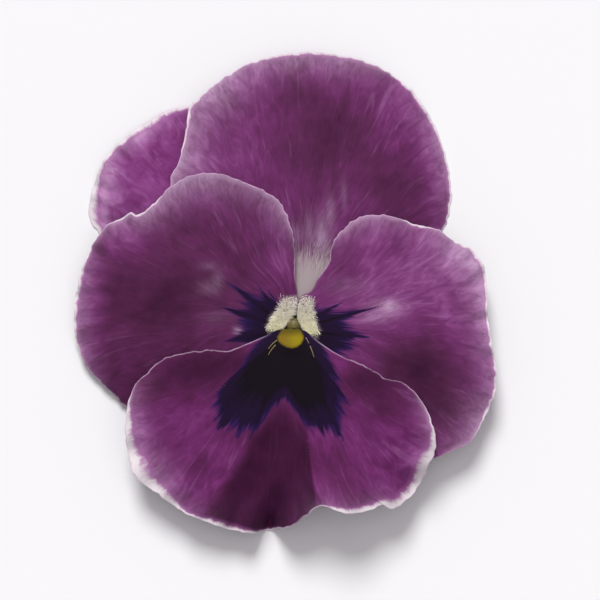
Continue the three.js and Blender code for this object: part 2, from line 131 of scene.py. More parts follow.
def spread(route, count):
    """`count` evenly spaced points on the smooth open curve through `route`, and the tangents there.
    Between two neighbours the curve is the cubic whose end slopes come from the chords round it."""
    p = np.asarray(route, float)
    p = np.vstack([2 * p[0] - p[1], p, 2 * p[-1] - p[-2]])
    p0, p1, p2, p3 = p[:-3], p[1:-2], p[2:-1], p[3:]
    dense = cubic_through(p0, p1, p2, p3, 24).reshape(-1, p.shape[1])
    dense = np.vstack([dense, p[-2]])
    length = np.concatenate([[0], np.cumsum(np.linalg.norm(np.diff(dense, axis=0), axis=1))])
    at = np.linspace(0, length[-1], count)
    points = np.column_stack([np.interp(at, length, dense[:, i]) for i in range(p.shape[1])])
    tangents = np.gradient(points, axis=0)
    return points, tangents / np.linalg.norm(tangents, axis=1, keepdims=True)


def cubic_through(p0, p1, p2, p3, steps):
    """Points between each p1 and p2 on the cubic whose slope at either end weighs the three chords
    p0-p1-p2-p3 by one over the square root of their lengths. Shape: (segments, steps, axes)."""
    d0, d1, d2 = (np.sqrt(np.linalg.norm(b - a, axis=1))[:, None] for a, b in ((p0, p1), (p1, p2), (p2, p3)))
    m1 = ((p1 - p0) / d0 - (p2 - p0) / (d0 + d1) + (p2 - p1) / d1) * d1
    m2 = ((p2 - p1) / d1 - (p3 - p1) / (d1 + d2) + (p3 - p2) / d2) * d1
    u = np.linspace(0, 1, steps, endpoint=False)[None, :, None]
    a, b, c, d = (q[:, None] for q in (p1, m1, p2, m2))
    from_start, from_end = (2 * u**3 - 3 * u**2 + 1) * a, (3 * u**2 - 2 * u**3) * c
    return from_start + (u**3 - 2 * u**2 + u) * b + from_end + (u**3 - u**2) * d


def skin(rings, first_pole=None, last_pole=None):
    """Vertices and faces of a closed tube of rings, shape (rings, sides, 3), with a pole at each end:
    the middle of the end ring, or the point given. Rings run anticlockwise seen from the last pole."""
    count, sides = rings.shape[:2]
    first = rings[0].mean(0) if first_pole is None else first_pole
    last = rings[-1].mean(0) if last_pole is None else last_pole
    vertices = np.vstack([rings.reshape(-1, 3), [first, last]])
    ring, side = np.meshgrid(np.arange(count - 1), np.arange(sides), indexing="ij")
    a = ring * sides + side
    b = ring * sides + (side + 1) % sides
    quads = np.stack([a, b, b + sides, a + sides], -1).reshape(-1, 4)
    k = np.arange(sides)
    nxt = (k + 1) % sides
    low = np.stack([np.full(sides, count * sides), nxt, k], -1)
    top = (count - 1) * sides
    high = np.stack([np.full(sides, count * sides + 1), top + k, top + nxt], -1)
    return vertices, quads.tolist() + low.tolist() + high.tolist()


def tube(route, count, sides, width, depth, side, cup=lambda f: 0):
    """Vertices and faces of a tube along the smooth curve through `route`. Its section at the share f
    of the way is an ellipse, width(f) to each side along `side` and depth(f) above and below, bent
    into a trough by cup(f) times the square of the place across."""
    centre, along = spread(route, count)
    across = np.asarray(side, float) - along * (along @ np.asarray(side, float))[:, None]
    across /= np.linalg.norm(across, axis=1, keepdims=True)
    out = np.cross(along, across)
    f = np.linspace(0, 1, count)
    half_width, half_depth, bend = ((size(f) + 0 * f)[:, None, None] for size in (width, depth, cup))
    turn = np.linspace(0, 2 * np.pi, sides, endpoint=False)[None, :, None]
    lift = half_depth * np.sin(turn) + bend * np.cos(turn) ** 2
    return skin(centre[:, None] + across[:, None] * (half_width * np.cos(turn)) + out[:, None] * lift)


def join(parts):
    """Several (vertices, faces) shells as one."""
    vertices, faces, offset = [], [], 0
    for part_vertices, part_faces in parts:
        vertices.append(part_vertices)
        faces += [[i + offset for i in face] for face in part_faces]
        offset += len(part_vertices)
    return np.vstack(vertices), faces


def piece(name, shell, material, slot, *nodes):
    """Makes the object of a shell drawn about the throat in mm, pressed flat where it meets the
    surface, and lets it ride on the bloom in place of its solids."""
    vertices, faces = shell
    placed = vertices + np.array([*THROAT, 0.0])
    placed[:, 2] = np.maximum(placed[:, 2], 0)
    mesh = bpy.data.meshes.new(name)
    mesh.from_pydata((placed * MM).tolist(), [], faces)
    mesh.polygons.foreach_set("use_smooth", [True] * len(mesh.polygons))
    mesh.materials.append(material)
    mesh.update()
    made = bpy.data.objects.new(name, mesh)
    bpy.context.collection.objects.link(made)
    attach(made, "root")
    if nodes:
        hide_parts(*nodes)
    return made


def smoothstep(low, high, x):
    """0 below `low`, 1 above `high`, and an even S between."""
    share = np.clip((x - low) / (high - low), 0, 1)
    return share * share * (3 - 2 * share)


def node_group(name, inputs, outputs):
    """An empty shader node group with the named sockets, and the sockets that its inputs come from."""
    group = bpy.data.node_groups.new(name, "ShaderNodeTree")
    for way, sockets in (("INPUT", inputs), ("OUTPUT", outputs)):
        for socket, kind in sockets.items():
            group.interface.new_socket(socket, in_out=way, socket_type="NodeSocket" + kind)
    return group, group.nodes.new("NodeGroupInput").outputs


# The mottling that all green parts share: two greens mixed by soft blotches and a finer grain.
green_mottle, mottle_in = node_group(
    "green mottle",
    {"Place": "Vector", "Grain Scale": "Float", "Dark": "Color", "Light": "Color"},
    {"Colour": "Color", "Grain": "Float"},
)
blotches = add_node(
    green_mottle, "ShaderNodeTexNoise", {"Vector": mottle_in["Place"], "Scale": 420.0, "Detail": 4.0}
).outputs["Fac"]
grain = add_node(
    green_mottle, "ShaderNodeTexNoise",
    {"Vector": mottle_in["Place"], "Scale": mottle_in["Grain Scale"], "Detail": 3.0},
).outputs["Fac"]
both = add_node(green_mottle, "ShaderNodeMath", {0: blotches, 1: grain}, operation="MULTIPLY").outputs[0]
light_share = add_node(
    green_mottle, "ShaderNodeMapRange", {"Value": both, "From Min": 0.12, "From Max": 0.38}
).outputs["Result"]
greens = add_node(
    green_mottle, "ShaderNodeMix",
    {"Factor": light_share, "A": mottle_in["Dark"], "B": mottle_in["Light"]}, data_type="RGBA",
).outputs["Result"]
add_node(green_mottle, "NodeGroupOutput", {"Colour": greens, "Grain": grain})


def green_material(name, dark, light, grain_scale, sheen):
    """Fresh green tissue in its own two greens, with a fine satin skin."""
    made, shader = new_material(name, {"Roughness": 0.5, "Sheen Weight": sheen})
    tree = made.node_tree
    place = add_node(tree, "ShaderNodeTexCoord").outputs["Object"]
    look = {"Place": place, "Grain Scale": grain_scale, "Dark": colour(dark), "Light": colour(light)}
    mottle = add_node(tree, "ShaderNodeGroup", look, node_tree=green_mottle).outputs
    tree.links.new(mottle["Colour"], shader.inputs["Base Color"])
    bump = add_node(tree, "ShaderNodeBump", {"Height": mottle["Grain"], "Strength": 0.35, "Distance": 0.0001})
    tree.links.new(bump.outputs["Normal"], shader.inputs["Normal"])
    return made


AXIS = np.array([0.4, 0.8])  # the middle of the receptacle, which the other parts stand round
STALK_LEVEL = 0.8
stalk_green = green_material("stalk green", "5d7a35", "9db36a", grain_scale=1500.0, sheen=0.1)
stalk_route = [
    (AXIS[0], AXIS[1], 3.4), (0.9, 0.65, 2.15), (2.2, 0.2, 1.2), (4.0, -0.5, STALK_LEVEL + 0.02),
    (6.2, -1.9, STALK_LEVEL), (8.2, -4.6, STALK_LEVEL), (9.4, -8.5, STALK_LEVEL), (9.9, -13.0, STALK_LEVEL),
]


def ribbed_stem(route, count, sides, radius, ribs, height):
    """A tube whose radius swells by `height` along `ribs` lengthwise ribs, and eases in at its cut."""
    centre, along = spread(route, count)
    side = np.array([0.7, 0.7, 0.0])
    across = side - along * (along @ side)[:, None]
    across /= np.linalg.norm(across, axis=1, keepdims=True)
    out = np.cross(along, across)
    turn = np.linspace(0, 2 * np.pi, sides, endpoint=False)
    swell = radius - height + height * np.abs(np.cos(ribs * turn / 2))
    end = 1 - 0.06 * smoothstep(0.985, 1.0, np.linspace(0, 1, count))
    rings = centre[:, None] + end[:, None, None] * (
        across[:, None] * (swell * np.cos(turn))[None, :, None]
        + out[:, None] * (swell * np.sin(turn))[None, :, None]
    )
    return skin(rings)


def turned(profile, steps, sides, centre):
    """A profile of (radius, height) points, smoothed and turned round the upright line at `centre`."""
    points, _ = spread(profile, steps)
    turn = np.linspace(0, 2 * np.pi, sides, endpoint=False)
    radius = np.maximum(points[1:-1, 0], 1e-3)
    rings = np.stack(
        [
            centre[0] + radius[:, None] * np.cos(turn),
            centre[1] + radius[:, None] * np.sin(turn),
            np.repeat(points[1:-1, 1][:, None], sides, 1),
        ],
        -1,
    )
    return skin(rings, [*centre, points[0, 1]], [*centre, points[-1, 1]])


receptacle = turned(
    [(0, 2.4), (1.0, 2.45), (1.9, 2.85), (2.7, 3.4), (2.8, 3.8), (2.55, 4.15), (1.4, 4.2), (0, 4.2)],
    steps=40, sides=64, centre=AXIS,
)
scale_leaves = [
    tube(route, 16, 12, lambda f: 0.65 * (1 - 0.85 * f**2), lambda f: 0.22 - 0.14 * f, side)
    for route, side in (
        ([(8.6, -6.0, 1.2), (9.9, -6.4, 1.6), (11.2, -7.4, 2.3)], (-1.4, -2.6, 0)),
        ([(9.0, -6.6, 1.2), (7.7, -7.4, 1.5), (6.9, -8.7, 2.0)], (-2.1, 2.1, 0)),
    )
]
stem = ribbed_stem(stalk_route, count=120, sides=48, radius=0.95, ribs=8, height=0.05)
piece("stalk_fine", join([receptacle, stem, *scale_leaves]), stalk_green, "stalk", "stalk")

# ---- Sepals ---------------------------------------------------------------------------------
# Five pointed green sepals stand round the receptacle. Each lies along the backs of the petals, and
# runs back past its joint as a short rounded ear. They are thin leaf tissue with a raised midrib.
SEPALS = {  # the bearing that each points to, and the height of its tip
    "sepal_top": (90, 3.9),
    "sepal_upper_left": (162, 2.5),
    "sepal_upper_right": (18, 3.4),
    "sepal_lower_left": (-126, 4.4),
    "sepal_lower_right": (-54, 5.2),
}
SEPAL_ROOT = 3.33
SEPAL_LEVEL = 4.0
SEPAL_LENGTH = 14.0
SEPAL_HALF_WIDTH = 2.2
EAR = 0.2  # the share of the route that is the ear
sepal_green = green_material("sepal green", "4c6b2a", "86a04c", grain_scale=1100.0, sheen=0.15)


def sepal_width(f):
    """Half the width along a sepal: a narrow ear, then a lance-shaped blade that ends in a point."""
    ear = 0.45 + 0.4 * np.sin(np.pi / 2 * np.clip(f / EAR, 0, 1))
    swell = 0.73 + (SEPAL_HALF_WIDTH - 0.85) * smoothstep(EAR, 0.5, f)
    blade = 0.06 + swell * (1 - smoothstep(0.5, 1.02, f))
    start = np.sqrt(np.clip(f / 0.04, 0.02, 1))
    return np.where(f < EAR, ear, blade) * start


for name, (bearing, tip) in SEPALS.items():
    angle = np.radians(bearing)
    profile = [
        (SEPAL_ROOT + 1.2, 1.0), (SEPAL_ROOT + 0.5, 1.9), (SEPAL_ROOT, 3.0), (SEPAL_ROOT + 0.9, 3.9),
        (SEPAL_ROOT + 3.2, SEPAL_LEVEL + 0.3 * (tip - SEPAL_LEVEL)),
        (SEPAL_ROOT + 7.0, SEPAL_LEVEL + 0.65 * (tip - SEPAL_LEVEL)), (SEPAL_LENGTH, tip),
    ]
    route = [(AXIS[0] + r * np.cos(angle), AXIS[1] + r * np.sin(angle), z) for r, z in profile]
    sideways = (-np.sin(angle), np.cos(angle), 0)
    leaf = tube(
        route, 72, 24, sepal_width,
        lambda f: 0.1 + 0.14 * (1 - smoothstep(0.6, 1, f)),
        sideways,
        cup=lambda f: 0.12 * smoothstep(0.2, 0.5, f) * (1 - smoothstep(0.8, 1, f)),
    )
    midrib = tube(
        [(*np.array(p)[:2], p[2] - 0.12) for p in route[1:]], 40, 8,
        lambda f: 0.16 * (1 - 0.7 * f), lambda f: 0.2 * (1 - 0.7 * f), sideways,
    )
    piece(name + "_fine", join([leaf, midrib]), sepal_green, "sepal", name)

# ---- Petals ---------------------------------------------------------------------------------
# Each petal is one thin, velvety blade that narrows to a claw on the receptacle. Blades are drawn
# in layers from the back of the bloom to its front, with waved and finely scalloped edges.
RINGS = 64  # rings of points from a blade's middle to its edge
AROUND = 440  # points to a ring
BLADE = 0.32  # thickness in the middle of a blade
HEM = 0.14  # thickness at its edge
REST_HEIGHT = 0.16  # the lowest that a blade's middle surface lies
REST_SOFTNESS = 0.2  # the height over which a blade bends into that level
RISE_LENGTH = 4.0  # how far from its claw a blade has gained most of its rise
# Fine waves, each (how many, height): scallops round the outline, and ribs to a radian of the veins,
# over the whole blade and near its edge.
SCALLOPS = ((23, 0.05), (37, 0.06), (58, 0.06), (83, 0.045), (118, 0.03))
RIBS = ((5, 0.14), (9, 0.09), (16, 0.05), (29, 0.02))
EDGE_RIBS = ((61, 0.04), (37, 0.06))
# The lower petal's fold: its trough runs from one point to another and widens as it goes, and its
# edge is pinched at the trough's end.
TROUGH = {"from": (0.6, -9.0), "to": (-3.4, -30.0), "depth": 1.5, "left": 2.5, "right": 1.8, "spread": 0.28}
PINCH = {"depth": 5.8, "width": 1.5, "start": 0.62}


def trough_place(x, y):
    """How far each point is along the line of the lower petal's trough, how far to its right, and the
    length of that line."""
    (ax, ay), (bx, by) = TROUGH["from"], TROUGH["to"]
    length = np.hypot(bx - ax, by - ay)
    along = np.maximum(0, ((x - ax) * (bx - ax) + (y - ay) * (by - ay)) / length)
    off = ((y - ay) * (bx - ax) - (x - ax) * (by - ay)) / length
    return along, off, length


def bells(x, y, places):
    """The sum of soft oval bells, each (x, y, wide, tall, height)."""
    total = np.zeros(np.shape(x))
    for middle_x, middle_y, wide, tall, height in places:
        total += height * np.exp(-(((x - middle_x) / wide) ** 2) - ((y - middle_y) / tall) ** 2)
    return total


def blade_height(x, y, form):
    """Height of a blade's middle surface: it starts at `level`, rises as it leaves the throat, and
    falls with the square of the distance along its axis and to each side of it. A `tilt` slopes it
    evenly from side to side. The lower petal adds a trough with a bell-shaped left side and a right
    wall that ends at a sharp crease, and the bell-shaped pinch at its edge. Each swell (x, y, wide,
    tall, height) adds one more bell."""
    angle = np.radians(form["bearing"])
    dx, dy = x - form["claw"][0], y - form["claw"][1]
    along = np.maximum(0, dx * np.cos(angle) + dy * np.sin(angle))
    across = dx * np.sin(angle) - dy * np.cos(angle)
    side = np.where(across > 0, form["right"], form["left"])
    z = form["level"] + form["rise"] * (1 - np.exp(-np.hypot(dx, dy) / RISE_LENGTH))
    z -= form["droop"] * (along / form["reach"]) ** 2 + side * (across / form["width"]) ** 2
    z += form.get("tilt", 0) * across
    if form.get("folded"):
        run, off, length = trough_place(x, y)
        share = off / (np.where(off > 0, TROUGH["right"], TROUGH["left"]) + TROUGH["spread"] * run)
        wall = np.where(off > 0, np.maximum(0, 1 - share**2), np.exp(-(share**2)))
        z -= TROUGH["depth"] * smoothstep(0, 1.1 * length, run) * wall
        bell = np.exp(-((off / PINCH["width"]) ** 2))
        z -= PINCH["depth"] * smoothstep(PINCH["start"] * length, length, run) * bell
    return z + bells(x, y, form.get("swells", []))


def edge_wave(turn, share, form):
    """The frill of an edge: two sines round its free sector, faded at both ends of it, which grow
    with the fourth power of the distance from the middle of the blade."""
    start, span, waves = (form["frill"][k] for k in ("start", "span", "waves"))
    turned_by = np.mod(turn - np.radians(start), 2 * np.pi) / np.radians(span)
    fade = smoothstep(0, 0.12, turned_by) * smoothstep(0, 0.12, 1 - turned_by) * (turned_by <= 1)
    phase = 2 * np.pi * waves * turned_by
    return form["frill"]["height"] * share**4 * fade * (0.6 * np.sin(0.5 * phase) + 0.4 * np.sin(phase + 1))


def ripple(value, waves):
    """The sum of sines: each wave is (how many per unit, height, phase)."""
    return sum(height * np.sin(count * value + phase) for count, height, phase in waves)


def off_edge(x, y, edge):
    """Distance of each point from a closed line, worked out edge by edge of that line."""
    nearest = np.full(x.shape, 1e9)
    for a, b in zip(edge, np.roll(edge, -1, 0)):
        run = b - a
        share = np.clip(((x - a[0]) * run[0] + (y - a[1]) * run[1]) / (run @ run), 0, 1)
        nearest = np.minimum(nearest, np.hypot(x - a[0] - share * run[0], y - a[1] - share * run[1]))
    return nearest


def inside_by(x, y, corners):
    """Distance from a closed patch's border: above 0 inside the patch, below 0 outside it."""
    corners = np.asarray(corners, float)
    inside = np.zeros(x.shape, bool)
    for (ax, ay), (bx, by) in zip(corners, np.roll(corners, -1, 0)):
        crosses = ((ay > y) != (by > y)) & (x < (bx - ax) * (y - ay) / (by - ay + 1e-12) + ax)
        inside ^= crosses
    return np.where(inside, 1, -1) * off_edge(x, y, corners)


def spots(x, y, rim, places):
    """The sum of bells of colour. A sixth number makes one also fade inwards from the petal's rim, as
    exp(-rim / number)."""
    return sum(
        bells(x, y, [place[:5]]) * (np.exp(-rim / place[5]) if len(place) > 5 else 1) for place in places
    )


FAR_OUTSIDE = -9.0  # the depth given to a blade without that patch


def blotch_depth(x, y, body, rays):
    """How deep each point lies in the dark blotch: its reach at that bearing from the throat, less
    the distance. `body` joins (degrees, mm) by straight lines. Each ray (degrees, mm, wide) adds a
    spike that falls off as exp(-turn / wide)."""
    bearing, distance = np.degrees(np.arctan2(y, x)), np.hypot(x, y)
    bearing = np.where(bearing < body[0][0], bearing + 360, bearing)
    reach = np.interp(bearing, [a for a, _ in body], [r for _, r in body])
    for degrees, more, wide in rays:
        reach = reach + more * np.exp(-np.abs(bearing - degrees) / wide)
    return reach - distance


def beard_base(x, y, patch):
    """How deep each point lies in the cream base below a beard, which fades out towards its top."""
    return 1.6 * inside_by(x, y, patch) + 0.35 - 1.05 * smoothstep(2.6, 5.6, y)


def bearing_from(point, x, y, zero):
    """The bearing of each place from a point, in radians from the direction `zero`, within a half turn."""
    return np.mod(np.arctan2(y - point[1], x - point[0]) - zero + np.pi, 2 * np.pi) - np.pi


def scalloped_outline(form, random):
    """AROUND even points on the smooth closed curve through the corners, taken anticlockwise. Away
    from the claw, each is moved out from the curve's middle by a sum of sines. Also that middle, and
    the unit way out to each point."""
    corners = np.asarray(form["edge"], float)
    after = np.roll(corners, -1, 0)
    if np.sum(corners[:, 0] * after[:, 1] - corners[:, 1] * after[:, 0]) < 0:
        corners = corners[::-1]
    dense = cubic_through(*(np.roll(corners, shift, 0) for shift in (1, 0, -1, -2)), 24).reshape(-1, 2)
    closed = np.vstack([dense, dense[:1]])
    length = np.concatenate([[0], np.cumsum(np.linalg.norm(np.diff(closed, axis=0), axis=1))])
    at = np.arange(AROUND) / AROUND
    edge = np.column_stack([np.interp(at * length[-1], length, closed[:, i]) for i in (0, 1)])
    middle = edge.mean(0)
    outward = (edge - middle) / np.linalg.norm(edge - middle, axis=1, keepdims=True)
    free = smoothstep(5, 14, np.linalg.norm(edge - np.array(form["claw"]), axis=1))[:, None]
    waves = [(2 * np.pi * count, height, random.uniform(0, 2 * np.pi)) for count, height in SCALLOPS]
    scallop = ripple(at, waves) * (0.7 + 0.3 * np.sin(10 * np.pi * at + form["seed"]))
    return edge + outward * free * scallop[:, None], middle, outward


def vein_root(form):
    """The point behind the claw that the veins fan out from, and the bearing of the blade's axis."""
    bearing = np.radians(form["bearing"])
    return np.array(form["claw"]) - form["root"] * np.array([np.cos(bearing), np.sin(bearing)]), bearing


def blade_surface(form, edge, middle, random):
    """The points of a blade's middle surface: its middle, then RINGS rings of AROUND points. Point
    (t, s) is the middle plus s times the way to point t of the outline, at the blade's height there,
    with its frill and its ribs. No point is under the height that a blade rests at, and the surface
    bends softly into that level. Also the bearing of each point's vein, and its distance from the
    edge."""
    share = 1 - (1 - np.arange(1, RINGS + 1) / RINGS) ** 1.5
    flat = np.concatenate([middle[None], (middle + share[:, None, None] * (edge - middle)).reshape(-1, 2)])
    x, y = flat.T
    shares = np.concatenate([[0], np.repeat(share, AROUND)])
    turn = np.arctan2(y - middle[1], x - middle[0])
    root, bearing = vein_root(form)
    distance = np.hypot(x - root[0], y - root[1])
    # Veins fan out from the claw, and turn to meet the margin squarely.
    fan = bearing_from(root, x, y, bearing)
    edge_fan = np.tile(bearing_from(root, edge[:, 0], edge[:, 1], bearing), RINGS)
    bend = form["bend"] * (shares[1:] ** 2 * smoothstep(4, 12, distance[1:]))
    fan[1:] += bend * (edge_fan - fan[1:])
    from_edge = off_edge(x, y, edge)
    from_edge[-AROUND:] = 0

    z = blade_height(x, y, form) + edge_wave(turn, shares, form)
    open_part = smoothstep(4, 16, distance)
    phases = random.uniform(0, 2 * np.pi, 5)
    z += open_part * ripple(fan, [(*rib, phase) for rib, phase in zip(RIBS, phases)])
    edge_ribs = [(*rib, phase) for rib, phase in zip(EDGE_RIBS, phases[[0, 3]])]
    z += open_part * smoothstep(3.0, 0.0, from_edge) * ripple(fan, edge_ribs)
    over = (z - REST_HEIGHT) / REST_SOFTNESS
    z = REST_HEIGHT + REST_SOFTNESS * np.where(over > 30, over, np.log1p(np.exp(np.minimum(over, 30))))
    return np.column_stack([x, y, z]), fan, from_edge


def closed_blade(grid, from_edge, outward):
    """Vertices and faces of a blade. Both faces are the middle surface moved along its normals by
    half the thickness, which thins towards the edge, and a rounded hem joins them."""
    rings = grid[1:].reshape(RINGS, AROUND, 3)
    around = np.roll(rings, -1, 1) - np.roll(rings, 1, 1)
    outwards = np.gradient(np.concatenate([np.repeat(grid[:1, None], AROUND, 1), rings]), axis=0)[1:]
    normal = np.cross(outwards, around)
    normal /= np.linalg.norm(normal, axis=2, keepdims=True)
    hub = normal[0].mean(0)
    normals = np.vstack([hub / np.linalg.norm(hub), normal.reshape(-1, 3)])
    thickness = (HEM + (BLADE - HEM) * smoothstep(0, 2.5, from_edge))[:, None]
    hem = grid[-AROUND:] + 0.04 * np.column_stack([outward, np.zeros(AROUND)])
    vertices = np.vstack([grid + normals * thickness / 2, grid - normals * thickness / 2, hem])

    below = len(grid)
    k = np.arange(AROUND)
    nxt = (k + 1) % AROUND
    ring = np.arange(RINGS - 1)[:, None] * AROUND + 1
    quads = np.stack([ring + k, ring + AROUND + k, ring + AROUND + nxt, ring + nxt], -1).reshape(-1, 4)
    fans = np.stack([np.zeros(AROUND, int), 1 + k, 1 + nxt], -1)
    last, hem_start = 1 + (RINGS - 1) * AROUND, 2 * below
    upper_hem = np.stack([last + k, hem_start + k, hem_start + nxt, last + nxt], -1)
    lower_hem = np.stack([hem_start + k, below + last + k, below + last + nxt, hem_start + nxt], -1)
    faces = (quads, fans, (quads + below)[:, ::-1], (fans + below)[:, ::-1], upper_hem, lower_hem)
    return vertices, sum((part.tolist() for part in faces), [])


def paint_blade(mesh, points, form, marks, fan, from_edge):
    """Gives a blade the attributes and the "veins" map that its finish reads. Both faces share the
    values of the middle surface, and a part that is joined on counts as back, far from any rim."""
    x, y = points[:, 0], points[:, 1]
    one_face = len(fan)
    blade = 2 * one_face + AROUND
    rim, back = np.full(len(x), 3.0), np.ones(len(x))
    rim[:blade] = np.concatenate([from_edge, from_edge, np.zeros(AROUND)])
    back[:one_face] = back[2 * one_face : blade] = 0
    values = {
        "rich": np.full(len(x), marks.get("rich", 0.0)),
        "rim": rim,
        "back": back,
        "tone_and_shading": marks["tone_and_shading"][0] + spots(x, y, rim, marks["tone_and_shading"][1:]),
        "haze_and_sheen": spots(x, y, rim, marks["haze_and_sheen"]),
        "white": spots(x, y, rim, marks["white"]),
        "hem": smoothstep(2.6, 4.6, np.hypot(x, y) - 0.5 * np.maximum(0, y)),
    }
    for patch in ("blotch", "cream", "yellow"):
        values[patch] = marks[patch](x, y) if patch in marks else np.full(len(x), FAR_OUTSIDE)
    if "shade" in marks:
        values["tone_and_shading"] += marks["shade"](x, y)
    for key, value in values.items():
        mesh.attributes.new(key, "FLOAT", "POINT").data.foreach_set("value", value.astype(np.float32))
    root, bearing = vein_root(form)
    across = bearing_from(root, x, y, bearing)
    across[:blade] = np.concatenate([fan, fan, fan[-AROUND:]])
    centimetres = np.hypot(x - root[0], y - root[1]) / 10
    uv = np.column_stack([across * form.get("grain", 1) + form["seed"], centimetres])
    corner = np.empty(len(mesh.loops), np.int32)
    mesh.loops.foreach_get("vertex_index", corner)
    veins = mesh.uv_layers.new(name="veins")
    veins.data.foreach_set("uv", uv[corner].astype(np.float32).ravel())


def petal(name, form, marks):
    """Builds and paints a blade. `form` has its outline's corners, its claw, and how it rises, droops,
    frills and fans its veins. `marks` has its colour: "tone" is a level and then darker or lighter
    spots, which give the petal's own colour and also painted shade and painted sheen of its curves;
    "haze" and "white" are spots of the greyish margin, partly painted sheen with a few painted
    highlights, and of the white border; "rich" is how full its colour is, and each patch gives how deep
    a point lies in it."""
    random = np.random.default_rng(form["seed"])
    edge, middle, outward = scalloped_outline(form, random)
    grid, fan, from_edge = blade_surface(form, edge, middle, random)
    shell = join([closed_blade(grid, from_edge, outward), *form["extra"]])
    made = piece(name + "_fine", shell, petal_velvet, "petal", name)
    paint_blade(made.data, shell[0], form, marks, fan, from_edge)


# The petals' finish. Colour lies in streaks that fan out from the claw, so its patterns read the
# "veins" map: bearing from the claw across, distance from it along. The attributes place the rest.
petal_velvet, petal_shader = new_material(
    "petal velvet",
    {
        "Roughness": 0.7, "Specular IOR Level": 0.05,
        "Sheen Weight": 0.02, "Sheen Roughness": 0.4, "Sheen Tint": colour("e0c0e0"),
    },
)
velvet = petal_velvet.node_tree


def attribute(name):
    """The value that the blade carries under this name."""
    return add_node(velvet, "ShaderNodeAttribute", attribute_name=name).outputs["Fac"]


def maths(operation, *values):
    """The result of one sum on values or sockets."""
    return add_node(velvet, "ShaderNodeMath", dict(enumerate(values)), operation=operation).outputs[0]


def about(noise, amount):
    """A noise moved to vary about 0, times an amount."""
    return maths("MULTIPLY", maths("SUBTRACT", noise, 0.5), amount)


def ranged(value, low, high, to_low=0.0, to_high=1.0, smooth=True):
    """Maps low..high onto to_low..to_high, held at both ends."""
    node = add_node(
        velvet, "ShaderNodeMapRange",
        {"Value": value, "From Min": low, "From Max": high, "To Min": to_low, "To Max": to_high},
    )
    node.interpolation_type = "SMOOTHSTEP" if smooth else "LINEAR"
    return node.outputs["Result"]


def mixed(factor, under, over, blend="MIX"):
    """The colour `under`, covered by the share `factor` with the colour `over`."""
    colours = {"Factor": factor, "A": under, "B": over}
    return add_node(velvet, "ShaderNodeMix", colours, data_type="RGBA", blend_type=blend).outputs["Result"]


def streaks(across, along, detail, shift):
    """Noise drawn out along the veins: `across` cells to a radian and `along` to a centimetre."""
    drawn_out = {"Vector": vein_map, "Location": (shift, shift, 0), "Scale": (across, along, 1)}
    cells = add_node(velvet, "ShaderNodeMapping", drawn_out).outputs[0]
    noise = {"Vector": cells, "Scale": 1.0, "Detail": detail, "Roughness": 0.6, "Distortion": 1.0}
    return add_node(velvet, "ShaderNodeTexNoise", noise, noise_dimensions="2D").outputs["Fac"]


def mottling(scale, detail):
    """Noise in all directions, on the blade's own place."""
    noise = {"Vector": object_place, "Scale": scale, "Detail": detail}
    return add_node(velvet, "ShaderNodeTexNoise", noise).outputs["Fac"]


vein_map = add_node(velvet, "ShaderNodeUVMap", uv_map="veins").outputs["UV"]
object_place = add_node(velvet, "ShaderNodeTexCoord").outputs["Object"]
broad = streaks(8.0, 1.0, 2.0, 3.1)
medium = streaks(15.0, 3.0, 2.0, 7.7)
fine = streaks(38.0, 6.0, 1.0, 1.3)
soft = mottling(260.0, 5.0)
rim_mm = attribute("rim")

# plum where the petal is dark, magenta to lilac where it is light, with streaks in the lighter parts.
# Its darker and lighter spots give the petal's own colour and also painted shade and painted sheen.
plain_tone_and_shading = attribute("tone_and_shading")
haze_and_sheen = attribute("haze_and_sheen")
contrast = maths("ADD", ranged(plain_tone_and_shading, -1.1, 0.5, 0.35, 1.05), maths("MULTIPLY", haze_and_sheen, 0.6))
streak = maths("ADD", about(broad, 0.75), maths("ADD", about(medium, 0.9), about(fine, 0.18)))
tone_and_shading = maths("ADD", plain_tone_and_shading, maths("MULTIPLY", contrast, streak))
tone_and_shading = maths("ADD", tone_and_shading, about(soft, 1.05))
ramp = add_node(velvet, "ShaderNodeValToRGB", {"Fac": ranged(tone_and_shading, -1.33, 1.4, smooth=False)})
PLUM_TO_LILAC = [
    "38152f", "401a37", "491f3f", "532448", "5d2853", "682d5f",
    "73356b", "81437a", "90548a", "a26f9e", "b98fb2",
]
stops = ramp.color_ramp.elements
while len(stops) < len(PLUM_TO_LILAC):
    stops.new(0.5)
for number, (stop, code) in enumerate(zip(stops, PLUM_TO_LILAC)):
    stop.position = number / (len(PLUM_TO_LILAC) - 1)
    stop.color = colour(code)
base = ramp.outputs["Color"]

# sparse pale veins
vein_line = ranged(streaks(24.0, 1.2, 1.0, 5.5), 0.62, 0.8)
base = mixed(maths("MULTIPLY", vein_line, ranged(tone_and_shading, -0.9, 0.5, 0.02, 0.2)), base, colour("a878a4"))

# less green where a petal is richer in colour
base = mixed(attribute("rich"), base, (1.0, 0.8, 1.0, 1.0), blend="MULTIPLY")

# the greyish lilac of the margins, partly painted sheen where they turn to the light, and a paler
# band just inside the rim
haze_and_sheen_streak = ranged(maths("ADD", about(medium, 1.0), about(fine, 1.0)), -0.5, 0.5, 0.6, 1.3)
base = mixed(maths("MINIMUM", maths("MULTIPLY", haze_and_sheen, haze_and_sheen_streak), 0.95), base, colour("b898b6"))
rim_haze_and_sheen = ranged(maths("ADD", rim_mm, about(medium, 0.8)), 0.0, 0.9, 0.5, 0.0)
base = mixed(maths("MULTIPLY", rim_haze_and_sheen, ranged(haze_and_sheen, 0.05, 0.3)), base, colour("b793b3"))

